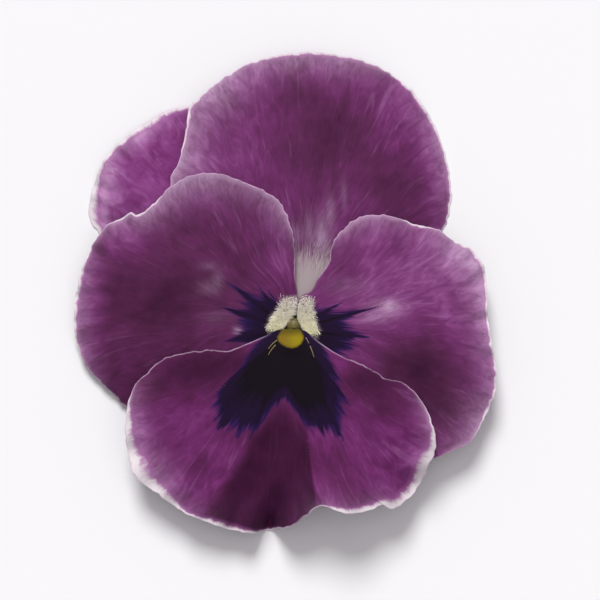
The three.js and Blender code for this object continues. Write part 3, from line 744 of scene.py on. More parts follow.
# the near-black blotch with its indigo border and ragged rays
ragged = maths("ADD", about(streaks(15.0, 1.2, 2.0, 2.2), 3.6), about(streaks(36.0, 2.0, 1.0, 4.4), 1.7))
ragged = maths("ADD", ragged, about(streaks(80.0, 2.4, 1.0, 6.7), 1.5))
depth = maths("ADD", attribute("blotch"), ragged)
blotch_mottle = maths("ADD", depth, about(soft, 4.5))
blotch_colour = mixed(ranged(blotch_mottle, 0.0, 1.7), colour("2b194b"), colour("20122d"))
blotch_colour = mixed(ranged(blotch_mottle, 2.5, 7.5), blotch_colour, colour("160f18"))
base = mixed(ranged(depth, -1.1, 0.8), base, blotch_colour)

# the cream throat and the yellow palate
cream_depth = maths("ADD", attribute("cream"), maths("ADD", about(medium, 1.6), about(fine, 1.4)))
base = mixed(ranged(cream_depth, -0.8, 0.9), base, colour("a5979a"))
yellow_depth = maths("ADD", attribute("yellow"), about(streaks(120.0, 1.6, 2.0, 6.3), 0.2))
place_xyz = add_node(velvet, "ShaderNodeSeparateXYZ", {0: object_place}).outputs
palate_colour = mixed(ranged(place_xyz["X"], 0.0, 0.0022), colour("7e681f"), colour("8f7f16"))
# The palate darkens towards its top, painted shade where it dips into the throat.
palate_colour = mixed(ranged(place_xyz["Y"], -0.0069, -0.0055), palate_colour, colour("63561f"))
palate_colour = mixed(ranged(yellow_depth, 0.0, 0.4, 0.7, 0.0), palate_colour, colour("4a3a16"))
base = mixed(ranged(yellow_depth, -0.08, 0.1), base, palate_colour)

# the white border where the petal has one, and the thin pale line of the hem, a painted highlight
# where the rim catches the light
white = attribute("white")
white_share = maths("DIVIDE", rim_mm, maths("MAXIMUM", white, 0.02))
white_share = maths("ADD", white_share, maths("ADD", about(medium, 1.0), about(fine, 0.6)))
blush = maths("MULTIPLY", ranged(white_share, 0.6, 2.4, 0.6, 0.0), ranged(white, 0.03, 0.4))
base = mixed(blush, base, colour("a35f9c"))
white_alpha = maths("MULTIPLY", ranged(white_share, 0.2, 1.25, 0.95, 0.0), ranged(white, 0.03, 0.25))
base = mixed(white_alpha, base, colour("e4dcdf"))
rim_highlight_line = maths("MULTIPLY", attribute("hem"), ranged(medium, 0.3, 0.7, 0.2, 0.6))
base = mixed(maths("MULTIPLY", ranged(rim_mm, 0.04, 0.2, 1.0, 0.0), rim_highlight_line), base, colour("d2b0cc"))

# the back is paler and duller
base = mixed(maths("MULTIPLY", attribute("back"), 0.5), base, colour("a487a6"))

velvet.links.new(base, petal_shader.inputs["Base Color"])
relief = maths("ADD", fine, maths("MULTIPLY", mottling(9000.0, 1.0), 0.3))
petal_bump = add_node(velvet, "ShaderNodeBump", {"Height": relief, "Strength": 0.22, "Distance": 0.0001})
velvet.links.new(petal_bump.outputs["Normal"], petal_shader.inputs["Normal"])


def around_axis(degrees, radius, z):
    """A point at `radius` from the flower's axis."""
    angle = np.radians(degrees)
    return (AXIS[0] + radius * np.cos(angle), AXIS[1] + radius * np.sin(angle), z)


def claw_foot(degrees, top):
    """The narrow foot of a petal, from the receptacle's rim up into the blade."""
    foot = around_axis(degrees, 2.45, 4.5)
    angle = np.radians(degrees)
    sideways = (-np.sin(angle), np.cos(angle), 0)
    return tube([foot, (*foot[:2], 5.0), top], 24, 16, lambda f: 0.5 + 0.28 * f, lambda f: 0.26, sideways)


# ---- Upper left petal -----------------------------------------------------------------------
# The rearmost petal, mostly hidden. Only its outer third shows, a bright streaked magenta that
# fades to white at the edge. Its left edge lies on the surface.
petal(
    "petal_upper_left",
    {
        "edge": [
            (-0.6, 2.9), (-4.3, 2.9), (-13.7, 4.5), (-22.6, 8.7), (-27.9, 13.3), (-29.3, 14.8),
            (-30.7, 17.4), (-30.1, 21.2), (-28.4, 25.4), (-25.5, 28.7), (-22.1, 31.2), (-18.4, 33.3),
            (-14.8, 33.7), (-10.3, 31.8), (-6.1, 27.0), (-3.1, 18.8), (-1.6, 10.5), (-0.5, 4.5),
        ],
        "claw": (-0.7, 3.2), "bearing": 136.6, "reach": 31, "width": 12,
        "level": 5.3, "rise": 0, "droop": 2.6, "right": 1.3, "left": 4.4,
        "frill": {"height": 0.35, "start": 105, "span": 95, "waves": 9},
        "root": 2.0, "bend": 0.3, "seed": 5, "extra": [claw_foot(112, (-1.3, 4.2, 5.3))],
    },
    {
        "rich": 0.75,
        "tone_and_shading": [
            0.6, (-29.0, 20, 2.6, 8.0, 0.9), (-22.5, 30, 5.0, 2.6, 0.6), (-17, 24, 3.0, 7.0, -0.2),
            (-18, 29, 4.0, 3.0, -0.5),
        ],
        "haze_and_sheen": [(-30, 20, 4.0, 8.0, 0.7, 1.6), (-24, 29, 8.0, 5.0, 0.7, 1.2)],
        "white": [(-31, 18, 4.0, 7.0, 1.2), (-22, 32, 8.0, 5.0, 0.9)],
        "cream": lambda x, y: 2.5 - np.hypot(x, y - 2) * 0.5,
    },
)

# ---- Upper right petal ----------------------------------------------------------------------
# The large upper petal in front of the other. A pale strip runs up from the throat and frays into
# the purple. Its middle is painted darker as shade, and its margins lighter as sheen. Its right
# edge lies on the surface.
petal(
    "petal_upper_right",
    {
        "edge": [
            (1.3, 2.5), (-1.1, 4.2), (-6.1, 6.8), (-12.9, 12.8), (-17.2, 18.4), (-18.1, 22.5),
            (-16.8, 25.5), (-15.8, 30.0), (-15.2, 33.5), (-12.0, 36.5), (-6.2, 40.2), (1.6, 41.9),
            (6.1, 41.6), (11.7, 40.4), (17.5, 36.9), (21.2, 32.1), (23.1, 27.5), (24.2, 22.3),
            (24.0, 17.7), (22.5, 14.4), (18.8, 9.9), (11.8, 5.8), (5.1, 3.8),
        ],
        "claw": (1.0, 3.3), "bearing": 86.2, "reach": 38, "width": 21,
        "level": 6.5, "rise": 0, "droop": 2.9, "right": 5.9, "left": 0.7,
        "frill": {"height": 0.35, "start": 5, "span": 140, "waves": 11},
        "root": 2.5, "bend": 0.5, "seed": 2, "grain": 1.4, "extra": [claw_foot(66, (1.5, 3.9, 6.5))],
    },
    {
        "tone_and_shading": [
            0.1, (6.0, 30.5, 6.0, 5.5, -0.6), (3.0, 25, 6.0, 7.0, -0.35), (14, 21, 4.5, 4.5, -0.6),
            (16.5, 25.5, 3.5, 3.5, -0.25), (9.5, 28.5, 2.5, 3.0, -0.3), (5, 36, 3.0, 3.0, -0.3),
            (0.5, 37.5, 3.0, 4.5, -0.6), (18, 18.5, 3.0, 4.0, -0.25), (-14, 26, 4.5, 8.0, 0.45),
            (-2, 38.5, 16.0, 3.2, 0.4), (17, 33, 3.5, 4.0, 0.35), (22, 26, 2.4, 7.0, 0.6),
            (2.5, 15, 3.0, 3.5, -0.35),
        ],
        "haze_and_sheen": [
            (-17, 24.5, 4.5, 7.5, 0.65, 3.0), (-12, 35, 6.0, 5.0, 0.8, 2.6),
            (3, 41, 14.0, 4.0, 0.6, 2.2), (22.5, 29, 5.0, 10.0, 0.6, 1.2), (4.5, 14.5, 0.8, 2.6, 0.35),
            (5.9, 17.6, 0.7, 2.4, 0.28), (2.6, 15, 0.6, 2.6, 0.25), (7.9, 20.4, 0.5, 2.2, 0.14),
            (1.0, 14, 0.7, 2.0, 0.25), (4.6, 13.0, 1.6, 1.8, 0.3),
        ],
        "white": [
            (-15, 32, 4.0, 6.0, 0.4), (20, 33, 6.0, 8.0, 0.45), (2, 42, 12.0, 4.0, 0.4),
            (24, 20, 3.0, 6.0, 0.25),
        ],
        "cream": lambda x, y: 0.33 * (11.3 - y - 0.5 * np.maximum(0, np.abs(x - 2.9) - 2.5)),
    },
)

# ---- Left side petal ------------------------------------------------------------------------
# It overlaps both upper petals. Its upper edge rolls back and catches the light, painted lighter as
# sheen; its middle is dark plum, partly painted shade; and a rayed blotch lies beside the cream base
# that carries the beard.
LEFT_BEARD = [
    (-1.7, 4.9), (-0.6, 5.3), (0.9, 5.35), (1.05, 4.5), (0.45, 2.7), (-0.6, 1.2), (-1.95, -0.6),
    (-2.85, -0.45), (-3.35, 0.45), (-3.0, 1.65), (-2.1, 2.7), (-1.6, 3.75),
]
LEFT_BLOTCH = {
    "body": [
        (90, 0.5), (110, 3.0), (115, 4.2), (122, 5.6), (130, 6.2), (140, 7.2), (148, 7.4), (155, 7.3),
        (163, 7.6), (171, 7.4), (180, 7.4), (188, 7.8), (194, 7.6), (205, 6.5), (230, 4),
    ],
    "rays": [
        (142.8, 5.6, 2.2), (127, 2.2, 1.6), (119, 1.7, 1.4), (161.8, 4.6, 1.5), (189, 2.4, 1.4),
        (151, 0.9, 1.2),
    ],
}
LEFT_SIDE = {
    "edge": [
        (-1.8, 0.1), (-0.5, 1.7), (0.5, 2.9), (0.9, 5.0), (0.6, 8.0), (0.5, 12.6), (-0.4, 16.6),
        (-2.2, 19.6), (-6.1, 21.7), (-11.8, 23.5), (-16.3, 22.6), (-18.9, 20.7), (-20.8, 18.8),
        (-23.1, 17.2), (-24.0, 17.7), (-25.6, 16.7), (-27.5, 15.9), (-29.6, 13.3), (-31.5, 9.2),
        (-32.7, 3.8), (-32.5, -1.6), (-30.8, -5.8), (-27.3, -9.3), (-24.8, -11.7), (-20.4, -13.2),
        (-13.7, -11.2), (-7.6, -6.0), (-4.0, -1.8),
    ],
    "claw": (-1.2, 1.5), "bearing": 165, "reach": 31, "width": 20,
    "level": 7.0, "rise": 0.9, "droop": 4.6, "right": -1.4, "left": 5.6,
    "frill": {"height": 0.45, "start": 60, "span": 165, "waves": 13},
    "root": 1.5, "bend": 0.8, "seed": 3, "extra": [claw_foot(172, (-2.2, 1.3, 7.3))],
}
petal(
    "petal_lateral_left",
    LEFT_SIDE,
    {
        "tone_and_shading": [
            -0.35, (-19.5, 4.5, 7.5, 5.0, -0.65), (-14, 20.5, 10.0, 3.5, 0.5), (-31, 2, 2.5, 10.0, 0.85),
            (-25.5, 14.5, 4.0, 3.5, 0.75), (-2, 13, 3.0, 6.0, 0.35), (-1, 9.5, 1.6, 3.0, 0.5),
            (-12, 0.5, 4.0, 3.0, 0.2), (-18, -7.5, 4.0, 3.0, -0.35),
        ],
        "haze_and_sheen": [
            (-15, 23, 9.0, 5.0, 0.75, 2.6), (-1.5, 19, 4.0, 5.0, 0.5, 1.8),
            (-32, 3, 4.0, 10.0, 0.6, 1.4), (-23, 17, 6.0, 4.0, 0.6, 1.5), (-11.0, 7.4, 0.9, 1.7, 0.13),
            # the spot at (-7.85, -0.1) on the next line is a painted highlight
            (-12.4, 9.6, 1.4, 0.6, 0.12), (-12.6, 6.3, 1.5, 1.2, 0.12), (-7.85, -0.1, 0.7, 0.6, 0.5),
            (-11, 2, 2.5, 1.2, 0.07),
        ],
        "white": [(-22.5, 17.5, 6.0, 4.0, 0.3), (-32, 5, 3.0, 8.0, 0.5)],
        "blotch": lambda x, y: blotch_depth(x, y, **LEFT_BLOTCH),
        "cream": lambda x, y: beard_base(x, y, LEFT_BEARD),
    },
)

# ---- Right side petal -----------------------------------------------------------------------
# It overlaps the large upper petal. It is brightest along its top, painted as sheen, with a dark plum
# lower half that is partly painted shade, and a rayed blotch beside its cream base.
RIGHT_BEARD = [
    (1.2, 5.3), (2.6, 5.35), (3.7, 4.9), (3.15, 3.45), (3.3, 1.8), (4.1, -0.05), (3.45, -1.1), (2.1, -0.9),
    (1.35, 1.2), (0.6, 2.85), (0.9, 4.2),
]
RIGHT_BLOTCH = {
    "body": [
        (-90, 3.0), (-50, 3.5), (-36, 6.0), (-30, 7.4), (-24, 8.4), (-16, 9.2), (-8, 9.4), (0, 9.0),
        (8, 8.4), (15, 7.6), (23, 6.8), (30, 6.2), (38, 5.2), (46, 4.0), (56, 2.5), (90, 0.5),
    ],
    "rays": [
        (15.0, 7.0, 1.8), (28.6, 2.8, 1.4), (-5.0, 3.8, 1.4), (44, 1.2, 1.6), (7, 0.8, 1.2),
        (-18, 0.8, 1.6),
    ],
}
RIGHT_SIDE = {
    "edge": [
        (2.5, 0.0), (1.6, 1.5), (1.0, 2.9), (1.5, 5.0), (3.0, 5.8), (4.0, 7.6), (5.7, 10.2), (6.0, 12.3),
        (6.8, 13.8), (8.2, 15.5), (10.7, 17.0), (13.8, 17.2), (16.9, 16.5), (18.6, 15.8), (21.9, 15.1),
        (24.6, 13.2), (26.9, 12.1), (28.8, 9.9), (29.4, 6.8), (29.5, 2.7), (30.2, -2.2), (30.9, -7.0),
        (30.3, -10.6), (28.9, -13.6), (27.0, -16.8), (24.2, -18.2), (21.3, -19.2), (17.1, -18.3),
        (11.8, -12.8), (6.6, -5.2), (4.0, -1.8),
    ],
    "claw": (1.8, 1.2), "bearing": 5, "reach": 28, "width": 21,
    "level": 7.1, "rise": 1.0, "droop": 2.8, "right": 1.2, "left": 1.3,
    "frill": {"height": 0.45, "start": -65, "span": 185, "waves": 14},
    "root": 1.5, "bend": 0.5, "seed": 8, "extra": [claw_foot(8, (3.0, 1.3, 7.3))],
}
petal(
    "petal_lateral_right",
    RIGHT_SIDE,
    {
        "tone_and_shading": [
            0.25, (19, -5.8, 7.0, 4.6, -1.3), (20, 13.5, 3.5, 2.5, 0.3), (25.5, 1, 3.0, 2.5, 0.3),
            (21.5, -11.8, 4.5, 3.5, -0.9), (26, 11, 5.0, 4.0, 0.6), (29.5, 2, 2.5, 9.0, 0.65),
            (7.0, 9, 2.6, 3.5, -0.4), (17, 6, 8.0, 4.0, 0.25), (4.6, 6.2, 1.6, 1.8, -0.1),
        ],
        "haze_and_sheen": [
            (10.5, 17, 8.0, 4.0, 0.5, 1.6), (27, 11, 6.0, 6.0, 0.75, 2.6), (29.8, 2, 4.0, 9.0, 0.6, 2.0),
            # the spots at (14.85, 3.6) and (14.2, 3.5) on the next line are a painted highlight and its glow
            (28, -14, 5.0, 6.0, 0.7, 2.0), (14.85, 3.6, 1.0, 0.65, 0.45), (14.2, 3.5, 2.6, 1.2, 0.35),
            (12.5, 1.8, 2.5, 0.8, 0.25), (8.5, 6.5, 3.0, 1.4, 0.12),
        ],
        "white": [
            (28, 10, 3.0, 4.0, 0.4), (30, 0, 2.5, 8.0, 0.35), (19, 15.7, 3.0, 2.0, 0.3),
            (29.5, -12, 3.0, 5.0, 0.4),
        ],
        "blotch": lambda x, y: blotch_depth(x, y, **RIGHT_BLOTCH),
        "cream": lambda x, y: beard_base(x, y, RIGHT_BEARD),
    },
)

# ---- Lower petal ----------------------------------------------------------------------------
# The front petal, broad and notched. It folds into a trough below its near-black blotch, swells
# into the yellow palate at the throat, and is drawn out behind into the hollow nectar spur. The
# trough is painted darker, partly as its shade.
SPUR_X = 0.4
SPUR_RADIUS = 1.62  # at its mouth
SPUR_NARROWING = 0.3  # how much less its radius is from its first quarter on
SPUR_WALL = 0.3
SPUR_THINNING = 0.12  # how much less its wall is at its mouth
SPUR_HOLLOW = 0.88  # the share of its length that is hollow
spur_route = [
    (SPUR_X, -1.5, 6.75), (SPUR_X, -2.5, 6.25), (SPUR_X, -3.3, 5.1), (SPUR_X, -4.1, 3.6), (SPUR_X, -5.0, 2.3),
    (SPUR_X, -6.0, 1.5), (SPUR_X, -8.3, 1.25),
]


def hollow_spur():
    """A blind tube: rings run up its outside from the tip to the mouth, then back down its inside. Its
    radius narrows by a soft step over the first quarter, and a round end closes its last 0.16. The
    inside lies a wall's thickness within it, and rounds off to its own blind end."""
    outside, along = spread(spur_route, 60)
    f = np.linspace(0, 1, 60)
    end = np.clip((1 - f) / 0.16, 0.01, 1)
    radius = (SPUR_RADIUS - SPUR_NARROWING * smoothstep(0, 0.25, f)) * np.sqrt(end * (2 - end))
    inside_share = np.linspace(SPUR_HOLLOW, 0, 50)
    rings = []
    for shares, radii in ((f[::-1], radius[::-1]), (inside_share[::-1], None)):
        centre = np.column_stack([np.interp(shares, f, outside[:, i]) for i in range(3)])
        way = np.column_stack([np.interp(shares, f, along[:, i]) for i in range(3)])
        way /= np.linalg.norm(way, axis=1, keepdims=True)
        if radii is None:
            wall = SPUR_WALL - SPUR_THINNING * (1 - smoothstep(0, 0.1, shares))
            radii = np.interp(shares, f, radius) - wall
            radii *= np.sqrt(np.clip((0.9 - shares) / 0.12, 0.02, 1))
        across = np.tile([1.0, 0, 0], (len(shares), 1))
        out = np.cross(way, across)
        turn = np.linspace(0, 2 * np.pi, 40, endpoint=False)[None, :, None]
        circle = across[:, None] * np.cos(turn) + out[:, None] * np.sin(turn)
        rings.append(centre[:, None] + radii[:, None, None] * circle)
    vertices, faces = skin(np.concatenate(rings))
    return vertices, [face[::-1] for face in faces]


PALATE = [
    (-2.1, -1.0), (-1.6, -0.2), (-1.2, 0.6), (1.3, 0.6), (1.6, -0.1), (1.95, -0.9), (1.9, -1.4),
    (1.55, -2.1), (0.9, -2.55), (0.2, -2.75), (-0.6, -2.6), (-1.4, -2.2), (-2.0, -1.6),
]


def trough_shade(x, y):
    """How much darker the trough is painted, partly its own darker colour and partly painted shade of the
    fold: soft steps across it, wide on its left and narrow at its crease on the right, times one along it."""
    run, off, _ = trough_place(x, y)
    left = smoothstep(-3.2, -0.6, off + 0.35 * run)
    right = 1 - smoothstep(-0.25, 0.15, off - 1.0 - 0.33 * run)
    return -1.2 * left * right * smoothstep(1.0, 9.0, run)


LOWER_BLOTCH = {
    "body": [
        (-200, 3.0), (-165, 5.0), (-159, 5.5), (-150, 7.0), (-142.7, 8.9), (-140, 10.8), (-138.6, 13.2),
        (-136.5, 15.4), (-133, 16.2), (-126, 16.6), (-121, 16.3), (-114.7, 15.6), (-109.5, 14.8),
        (-107.5, 13.6), (-104, 11.9), (-99.9, 10.6), (-95, 10.0), (-89.2, 11.4), (-83, 13.4),
        (-80.5, 14.6), (-76, 15.0), (-69, 15.6), (-65, 15.6), (-61.4, 14.8), (-56, 13.2), (-53, 11.6),
        (-49, 9.8), (-43, 8.6), (-36, 6.9), (-28, 6.0), (-18, 4.9), (0, 3.5),
    ],
    "rays": [
        (-140.5, 4.6, 1.3), (-136.5, 1.6, 1.0), (-130.8, 1.9, 0.9), (-126.5, 2.4, 1.4),
        (-122.5, 1.0, 0.8), (-117, 1.5, 1.2), (-110.5, 3.2, 1.5), (-100, 0.6, 0.7), (-78, 1.0, 0.6),
        (-73, 0.9, 0.6), (-68.5, 1.0, 0.6), (-64.8, 3.4, 1.5), (-58, 1.4, 0.9), (-51.6, 3.6, 1.4),
        (-45, 1.2, 1.2), (-40, 0.9, 1.2),
    ],
}


def lower_blotch(x, y):
    """How deep each point lies in the blotch, plus bells that make its neck and middle near black."""
    neck = bells(x, y, [(-0.3, -6.0, 3.0, 2.4, 5.0)])
    middle = bells(x, y, [(0.2, -10.5, 3.0, 3.5, 2.0)])
    return neck + (1 + middle) * blotch_depth(x, y, **LOWER_BLOTCH)


LOWER = {
    "edge": [
        (0.3, 0.1), (-1.9, 0.0), (-3.4, -0.7), (-6.9, -2.2), (-9.4, -3.1), (-12.6, -3.0), (-16.6, -3.6),
        (-19.6, -4.6), (-21.6, -6.6), (-22.9, -7.6), (-24.2, -10.3), (-24.8, -14.2), (-24.5, -18.3),
        (-23.0, -22.4), (-20.1, -24.5), (-16.8, -27.0), (-13.0, -28.7), (-8.9, -30.1), (-5.0, -30.6),
        (-0.9, -29.8), (1.8, -28.1), (4.5, -26.2), (8.1, -27.3), (11.8, -26.9), (13.7, -26.2),
        (15.0, -26.8), (17.8, -25.2), (19.5, -22.9), (20.8, -19.9), (21.7, -17.1), (20.8, -13.2),
        (19.3, -10.3), (16.6, -7.8), (14.1, -7.2), (11.2, -5.4), (7.3, -3.8), (3.4, -1.2), (2.0, -0.1),
    ],
    "claw": (0, -0.9), "bearing": 268, "reach": 30, "width": 23,
    "level": 8.1, "rise": 1.2, "droop": 3.0, "right": 0.6, "left": 2.0, "tilt": -0.055,
    "frill": {"height": 0.5, "start": 165, "span": 210, "waves": 15},
    "root": 1.5, "bend": 0.5, "seed": 4, "folded": True, "extra": [hollow_spur()],
    "swells": [(0.15, -2.1, 1.6, 1.6, 0.5), (6.5, -27, 6.5, 5, 2.5), (19.8, -23.5, 3.5, 3.2, -3.0)],
}
petal(
    "petal_lower",
    LOWER,
    {
        "rich": 0.8,
        "tone_and_shading": [
            0.1, (-12.5, -5, 9.0, 3.2, -1.15), (-14, -8.5, 6.0, 2.4, -0.4),
            (-22.8, -16, 2.0, 4.5, 0.75), (-20.5, -9.5, 3.0, 3.0, -0.5), (-9.5, -15.5, 4.0, 2.0, -0.3),
            (-14, -21, 4.0, 3.0, -0.3), (11.5, -7.5, 5.0, 2.8, -1.15), (15, -11.5, 6.0, 2.6, -0.55),
            (20.5, -17, 2.6, 5.0, 0.5), (9.5, -22.5, 3.0, 2.5, -0.25), (-17.5, -22.8, 3.2, 2.2, 0.6),
            (18.3, -19.8, 2.0, 2.6, 0.6), (9.5, -14.5, 3.0, 3.0, 0.1), (5.8, -21, 2.4, 3.5, -0.5),
            # The first bell on the next line is painted light that lifts the shade of the pinched tip of the
            # fold.
            (-3.2, -26.3, 1.6, 3.2, 0.8), (-0.4, -27.4, 2.2, 2.2, 0.5), (-1.1, -12.6, 1.8, 2.6, -0.7),
        ],
        "shade": trough_shade,
        "haze_and_sheen": [
            (-24, -16, 3.5, 6.0, 0.7, 2.0), (-17, -24, 9.0, 5.0, 0.4, 1.2), (12, -26, 8.0, 4.0, 0.4, 1.3),
            (21, -15, 3.0, 6.0, 0.5, 1.2), (-20.5, -21.5, 3.5, 4.0, 0.6, 3.0),
        ],
        "white": [
            (-24.6, -16, 2.0, 4.5, 1.2), (-22.4, -21.2, 2.6, 3.4, 2.5), (-19.0, -25.0, 3.0, 2.5, 1.3),
            (-11, -29, 5.0, 2.5, 0.6), (-4, -30, 6.0, 2.0, 0.2), (9, -27.5, 4.5, 2.0, 0.8),
            (16.5, -26, 4.0, 3.0, 1.4), (20.4, -20.5, 3.0, 4.0, 2.2), (20.5, -13, 2.0, 3.0, 0.15),
        ],
        "blotch": lower_blotch,
        "yellow": lambda x, y: inside_by(x, y, PALATE),
    },
)

# Short pale guide lines run out from both sides of the palate, as fine ridges on the petal.
guide_material, _ = new_material("guide line", {"Base Color": colour("877a4c"), "Roughness": 0.6})
GUIDES = [
    [(-2.1, -1.5), (-2.8, -2.1), (-3.4, -2.8)], [(-2.3, -2.2), (-2.9, -2.9), (-3.4, -3.7)],
    [(2.2, -1.1), (2.45, -1.5), (2.7, -2.0)], [(2.85, -2.35), (3.15, -3.1), (3.45, -4.05)],
]
ridges = []
for guide in GUIDES:
    gx, gy = np.array(guide).T
    on_petal = np.column_stack([gx, gy, blade_height(gx, gy, LOWER) + 0.17])
    ridges.append(tube(on_petal, 20, 8, lambda f: 0.08 - 0.04 * f, lambda f: 0.05 - 0.02 * f, (1, 0.3, 0)))
piece("guide_lines", join(ridges), guide_material, "petal")

# ---- Stamens --------------------------------------------------------------------------------
# Five flat anthers in a ring round the ovary, each with two pollen sacs and an orange tip. The
# two in front carry the thin nectaries that reach into the spur.

# Two tints that pass into each other along one axis, as on the anthers and the beards.
two_tints, tint_in = node_group(
    "two tints",
    {"Place": "Float", "From": "Float", "To": "Float", "First": "Color", "Last": "Color"},
    {"Colour": "Color"},
)
tint_share = add_node(
    two_tints, "ShaderNodeMapRange",
    {"Value": tint_in["Place"], "From Min": tint_in["From"], "From Max": tint_in["To"]},
).outputs["Result"]
tint = add_node(
    two_tints, "ShaderNodeMix",
    {"Factor": tint_share, "A": tint_in["First"], "B": tint_in["Last"]}, data_type="RGBA",
).outputs["Result"]
add_node(two_tints, "NodeGroupOutput", {"Colour": tint})


def tint_along(made, shader, axis, start, end, first, last):
    """Colours a material from `first` to `last` between two places in metres along an axis, and gives
    the socket of the place."""
    tree = made.node_tree
    place = add_node(tree, "ShaderNodeTexCoord").outputs["Object"]
    on_axis = add_node(tree, "ShaderNodeSeparateXYZ", {0: place}).outputs[axis]
    look = {"Place": on_axis, "From": start, "To": end, "First": colour(first), "Last": colour(last)}
    tinted = add_node(tree, "ShaderNodeGroup", look, node_tree=two_tints)
    tree.links.new(tinted.outputs["Colour"], shader.inputs["Base Color"])
    return place


anther_material, anther_shader = new_material("anther", {"Roughness": 0.7})
anther_place = tint_along(anther_material, anther_shader, "Z", 0.0054, 0.0058, "d8cf9a", "b0682a")
anther_tree = anther_material.node_tree
pollen = add_node(anther_tree, "ShaderNodeTexNoise", {"Vector": anther_place, "Scale": 5000.0}).outputs["Fac"]
pollen_bump = add_node(
    anther_tree, "ShaderNodeBump", {"Height": pollen, "Strength": 0.4, "Distance": 0.00005}
).outputs["Normal"]
anther_tree.links.new(pollen_bump, anther_shader.inputs["Normal"])

STAMENS = (90, 162, 18, -126, -54)  # their bearings round the ovary
ANTHER_RADIUS = 1.5
SAC_APART = 0.24
NECTARY = [(0.9, -0.45, 5.6), (0.45, -1.2, 6.4), (0.3, -1.9, 6.3), (0.3, -2.6, 5.75), (0.3, -3.2, 4.85)]


def pollen_sac(half):
    """Half the thickness of a sac at the share f of its length: `half` times (1 - (2f - 1)^4)^0.5."""
    return lambda f: half * np.sqrt(np.clip(1 - (2 * f - 1) ** 4, 0.02, 1))


def nectary_taper(f):
    """Half the thickness of a nectary, which falls evenly to its tip."""
    return 0.16 * (1 - 0.3 * f)


for number, bearing in enumerate(STAMENS, start=1):
    angle = np.radians(bearing)
    sideways = np.array([-np.sin(angle), np.cos(angle), 0])
    sac_line = np.array([around_axis(bearing, ANTHER_RADIUS + 0.03, z) for z in (4.52, 5.0, 5.5)])
    shells = [
        tube(sac_line + hand * SAC_APART * sideways, 24, 16, pollen_sac(0.24), pollen_sac(0.22), sideways)
        for hand in (-1, 1)
    ]
    shells.append(tube(
        [around_axis(bearing, ANTHER_RADIUS, z) for z in (4.6, 5.2, 6.0)], 24, 16,
        lambda f: 0.38 * np.sqrt(np.clip(1 - f**3, 0.03, 1)),
        lambda f: 0.13 * np.sqrt(np.clip(1 - f**3, 0.05, 1)), sideways,
    ))
    if number > 3:
        hand = np.sign(np.cos(angle))
        nectary = [(SPUR_X + hand * x, y, z) for x, y, z in NECTARY]
        shells.append(tube(nectary, 40, 12, nectary_taper, nectary_taper, (1, 0, 0)))
    piece(f"stamen_{number}_fine", join(shells), anther_material, "anther", f"stamen_{number}")

# ---- Pistil ---------------------------------------------------------------------------------
# The green ovary, its short style, and the round stigma that fills the throat, with the small
# hollow on its front through which pollen enters.
STIGMA_RADIUS = 1.15
MOUTH_DIP = 0.32  # the depth of its mouth, as a share of that radius
MOUTH_LIP = 0.05  # the height of the lip round the mouth, likewise
pistil_green = green_material("pistil green", "5a5026", "766c34", grain_scale=2500.0, sheen=0.1)


def stigma_head():
    """A ball whose radius dips by a bell round the direction of its mouth, and swells by a ring-shaped
    bell round that dip."""
    tilt = np.linspace(0.04, np.pi - 0.04, 48)[:, None]
    turn = np.linspace(0, 2 * np.pi, 64, endpoint=False)[None, :]
    ball = np.stack(
        [np.sin(tilt) * np.cos(turn), np.sin(tilt) * np.sin(turn), -np.cos(tilt) + 0 * turn], -1
    )
    mouth = np.array([0.0, -0.8, 0.6])
    near = np.arccos(np.clip(ball @ mouth, -1, 1))
    dip = MOUTH_DIP * np.exp(-((near / 0.28) ** 2))
    lip = MOUTH_LIP * np.exp(-(((near - 0.5) / 0.16) ** 2))
    return skin(STIGMA + ball * (STIGMA_RADIUS * (1 - dip + lip))[..., None])


ovary = turned(
    [(0, 4.5), (0.45, 4.52), (0.78, 4.9), (0.8, 5.3), (0.5, 5.75), (0.3, 5.95), (0, 6.05)],
    steps=36, sides=48, centre=AXIS,
)
STYLE_RADIUS = 0.3
style_route = [(*AXIS, 5.7), (AXIS[0], AXIS[1] + 0.1, 6.2), STIGMA]
style = tube(style_route, 20, 16, lambda f: STYLE_RADIUS, lambda f: STYLE_RADIUS, (1, 0, 0))
piece("pistil_fine", join([ovary, style, stigma_head()]), pistil_green, "pistil", "pistil")

# ---- Beards ---------------------------------------------------------------------------------
# Each side petal's base carries a dense felt of short, soft, blunt cream hairs. They lean in over
# the stigma, and the outermost stand out like a fringe over the dark blotch.
beard_material, beard_shader = new_material(
    "beard hair",
    {
        "Roughness": 0.5, "Specular IOR Level": 0.3, "Subsurface Weight": 0.4,
        "Subsurface Radius": (1.0, 0.9, 0.7), "Subsurface Scale": 0.0004,
    },
)
tint_along(beard_material, beard_shader, "Y", -0.0062, -0.002, "fbf6cc", "f6eee2")
HAIRS = 2400
BEARD_SLIT = 1.0  # where the two side petals meet above the stigma
HAIR_RADII = (0.055, 0.05, 0.045, 0.025)  # from root to tip
HAIR_SIDES = 5
HAIR_HEIGHT = (0.45, 0.75)  # the shortest and the tallest


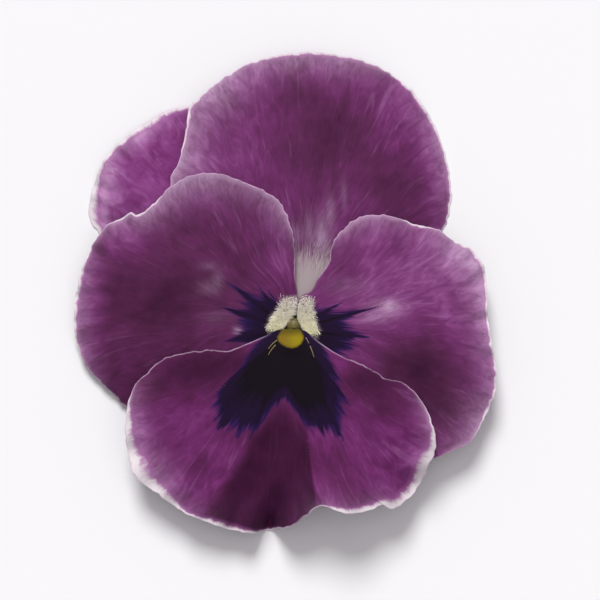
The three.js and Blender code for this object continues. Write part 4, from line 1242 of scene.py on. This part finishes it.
def beard(name, form, patch, inner, seed):
    """Hairs as arrays: root i stands on the blade inside `patch`, more sparsely towards its border and
    its top. It leans away from the point `inner`, and by the petal's edge over the slit. Ring j of a
    hair lies at root + lean * f^1.6 + up * f, with f from 0 to 1, and a blunt end closes it."""
    random = np.random.default_rng(seed)
    corners = np.asarray(patch)
    trial = random.uniform(corners.min(0) - 0.1, corners.max(0) + 0.1, (HAIRS * 8, 2))
    on_blade = inside_by(trial[:, 0], trial[:, 1], form["edge"]) > 0.03
    density = smoothstep(-0.1, 0.6, inside_by(trial[:, 0], trial[:, 1], corners))
    density *= 0.02 + 0.98 * (1 - smoothstep(1.8, 5.7, trial[:, 1])) ** 2
    root = trial[on_blade & (random.uniform(0, 1, len(trial)) < density)][:HAIRS]
    count = len(root)
    x, y = root.T
    z = blade_height(x, y, form) + 0.05

    outward = root - np.array(inner)
    outward /= np.linalg.norm(outward, axis=1, keepdims=True)
    by_border = smoothstep(0.5, 0.0, inside_by(x, y, corners))[:, None]
    lean = outward * (0.3 + 0.35 * by_border) * random.uniform(0.3, 1.4, (count, 1))
    lean = lean + random.normal(0, 0.12, (count, 2))
    to_slit = np.column_stack([BEARD_SLIT - x, np.full(count, -0.5)])
    to_slit /= np.linalg.norm(to_slit, axis=1, keepdims=True)
    by_edge = smoothstep(0.9, 0.1, inside_by(x, y, form["edge"]))[:, None]
    lean = (1 - by_edge) * lean + by_edge * to_slit * random.uniform(0.35, 0.75, (count, 1))
    tall = random.uniform(*HAIR_HEIGHT, count) * (1 - 0.45 * by_border[:, 0])
    tall *= 1 - 0.4 * smoothstep(3.4, 5.2, y)

    f = np.linspace(0, 1, len(HAIR_RADII))[None, :, None]
    spine = np.concatenate(
        [root[:, None] + lean[:, None] * f**1.6, z[:, None, None] + tall[:, None, None] * f], -1
    )
    turn = np.linspace(0, 2 * np.pi, HAIR_SIDES, endpoint=False)
    circle = np.stack([np.cos(turn), np.sin(turn), 0 * turn], -1)[None, None]
    rings = spine[:, :, None] + circle * np.array(HAIR_RADII)[None, :, None, None]
    poles = np.stack([spine[:, 0], spine[:, -1] + [0, 0, 0.03]], 1)
    vertices = np.concatenate([rings.reshape(count, -1, 3), poles], 1)
    _, faces = skin(rings[0])
    step = vertices.shape[1]
    all_faces = [[i + step * hair for i in face] for hair in range(count) for face in faces]
    piece(name, (vertices.reshape(-1, 3), all_faces), beard_material, "petal")


beard("beard_left", LEFT_SIDE, LEFT_BEARD, inner=(-0.9, 2.9), seed=21)
beard("beard_right", RIGHT_SIDE, RIGHT_BEARD, inner=(2.2, 2.6), seed=22)
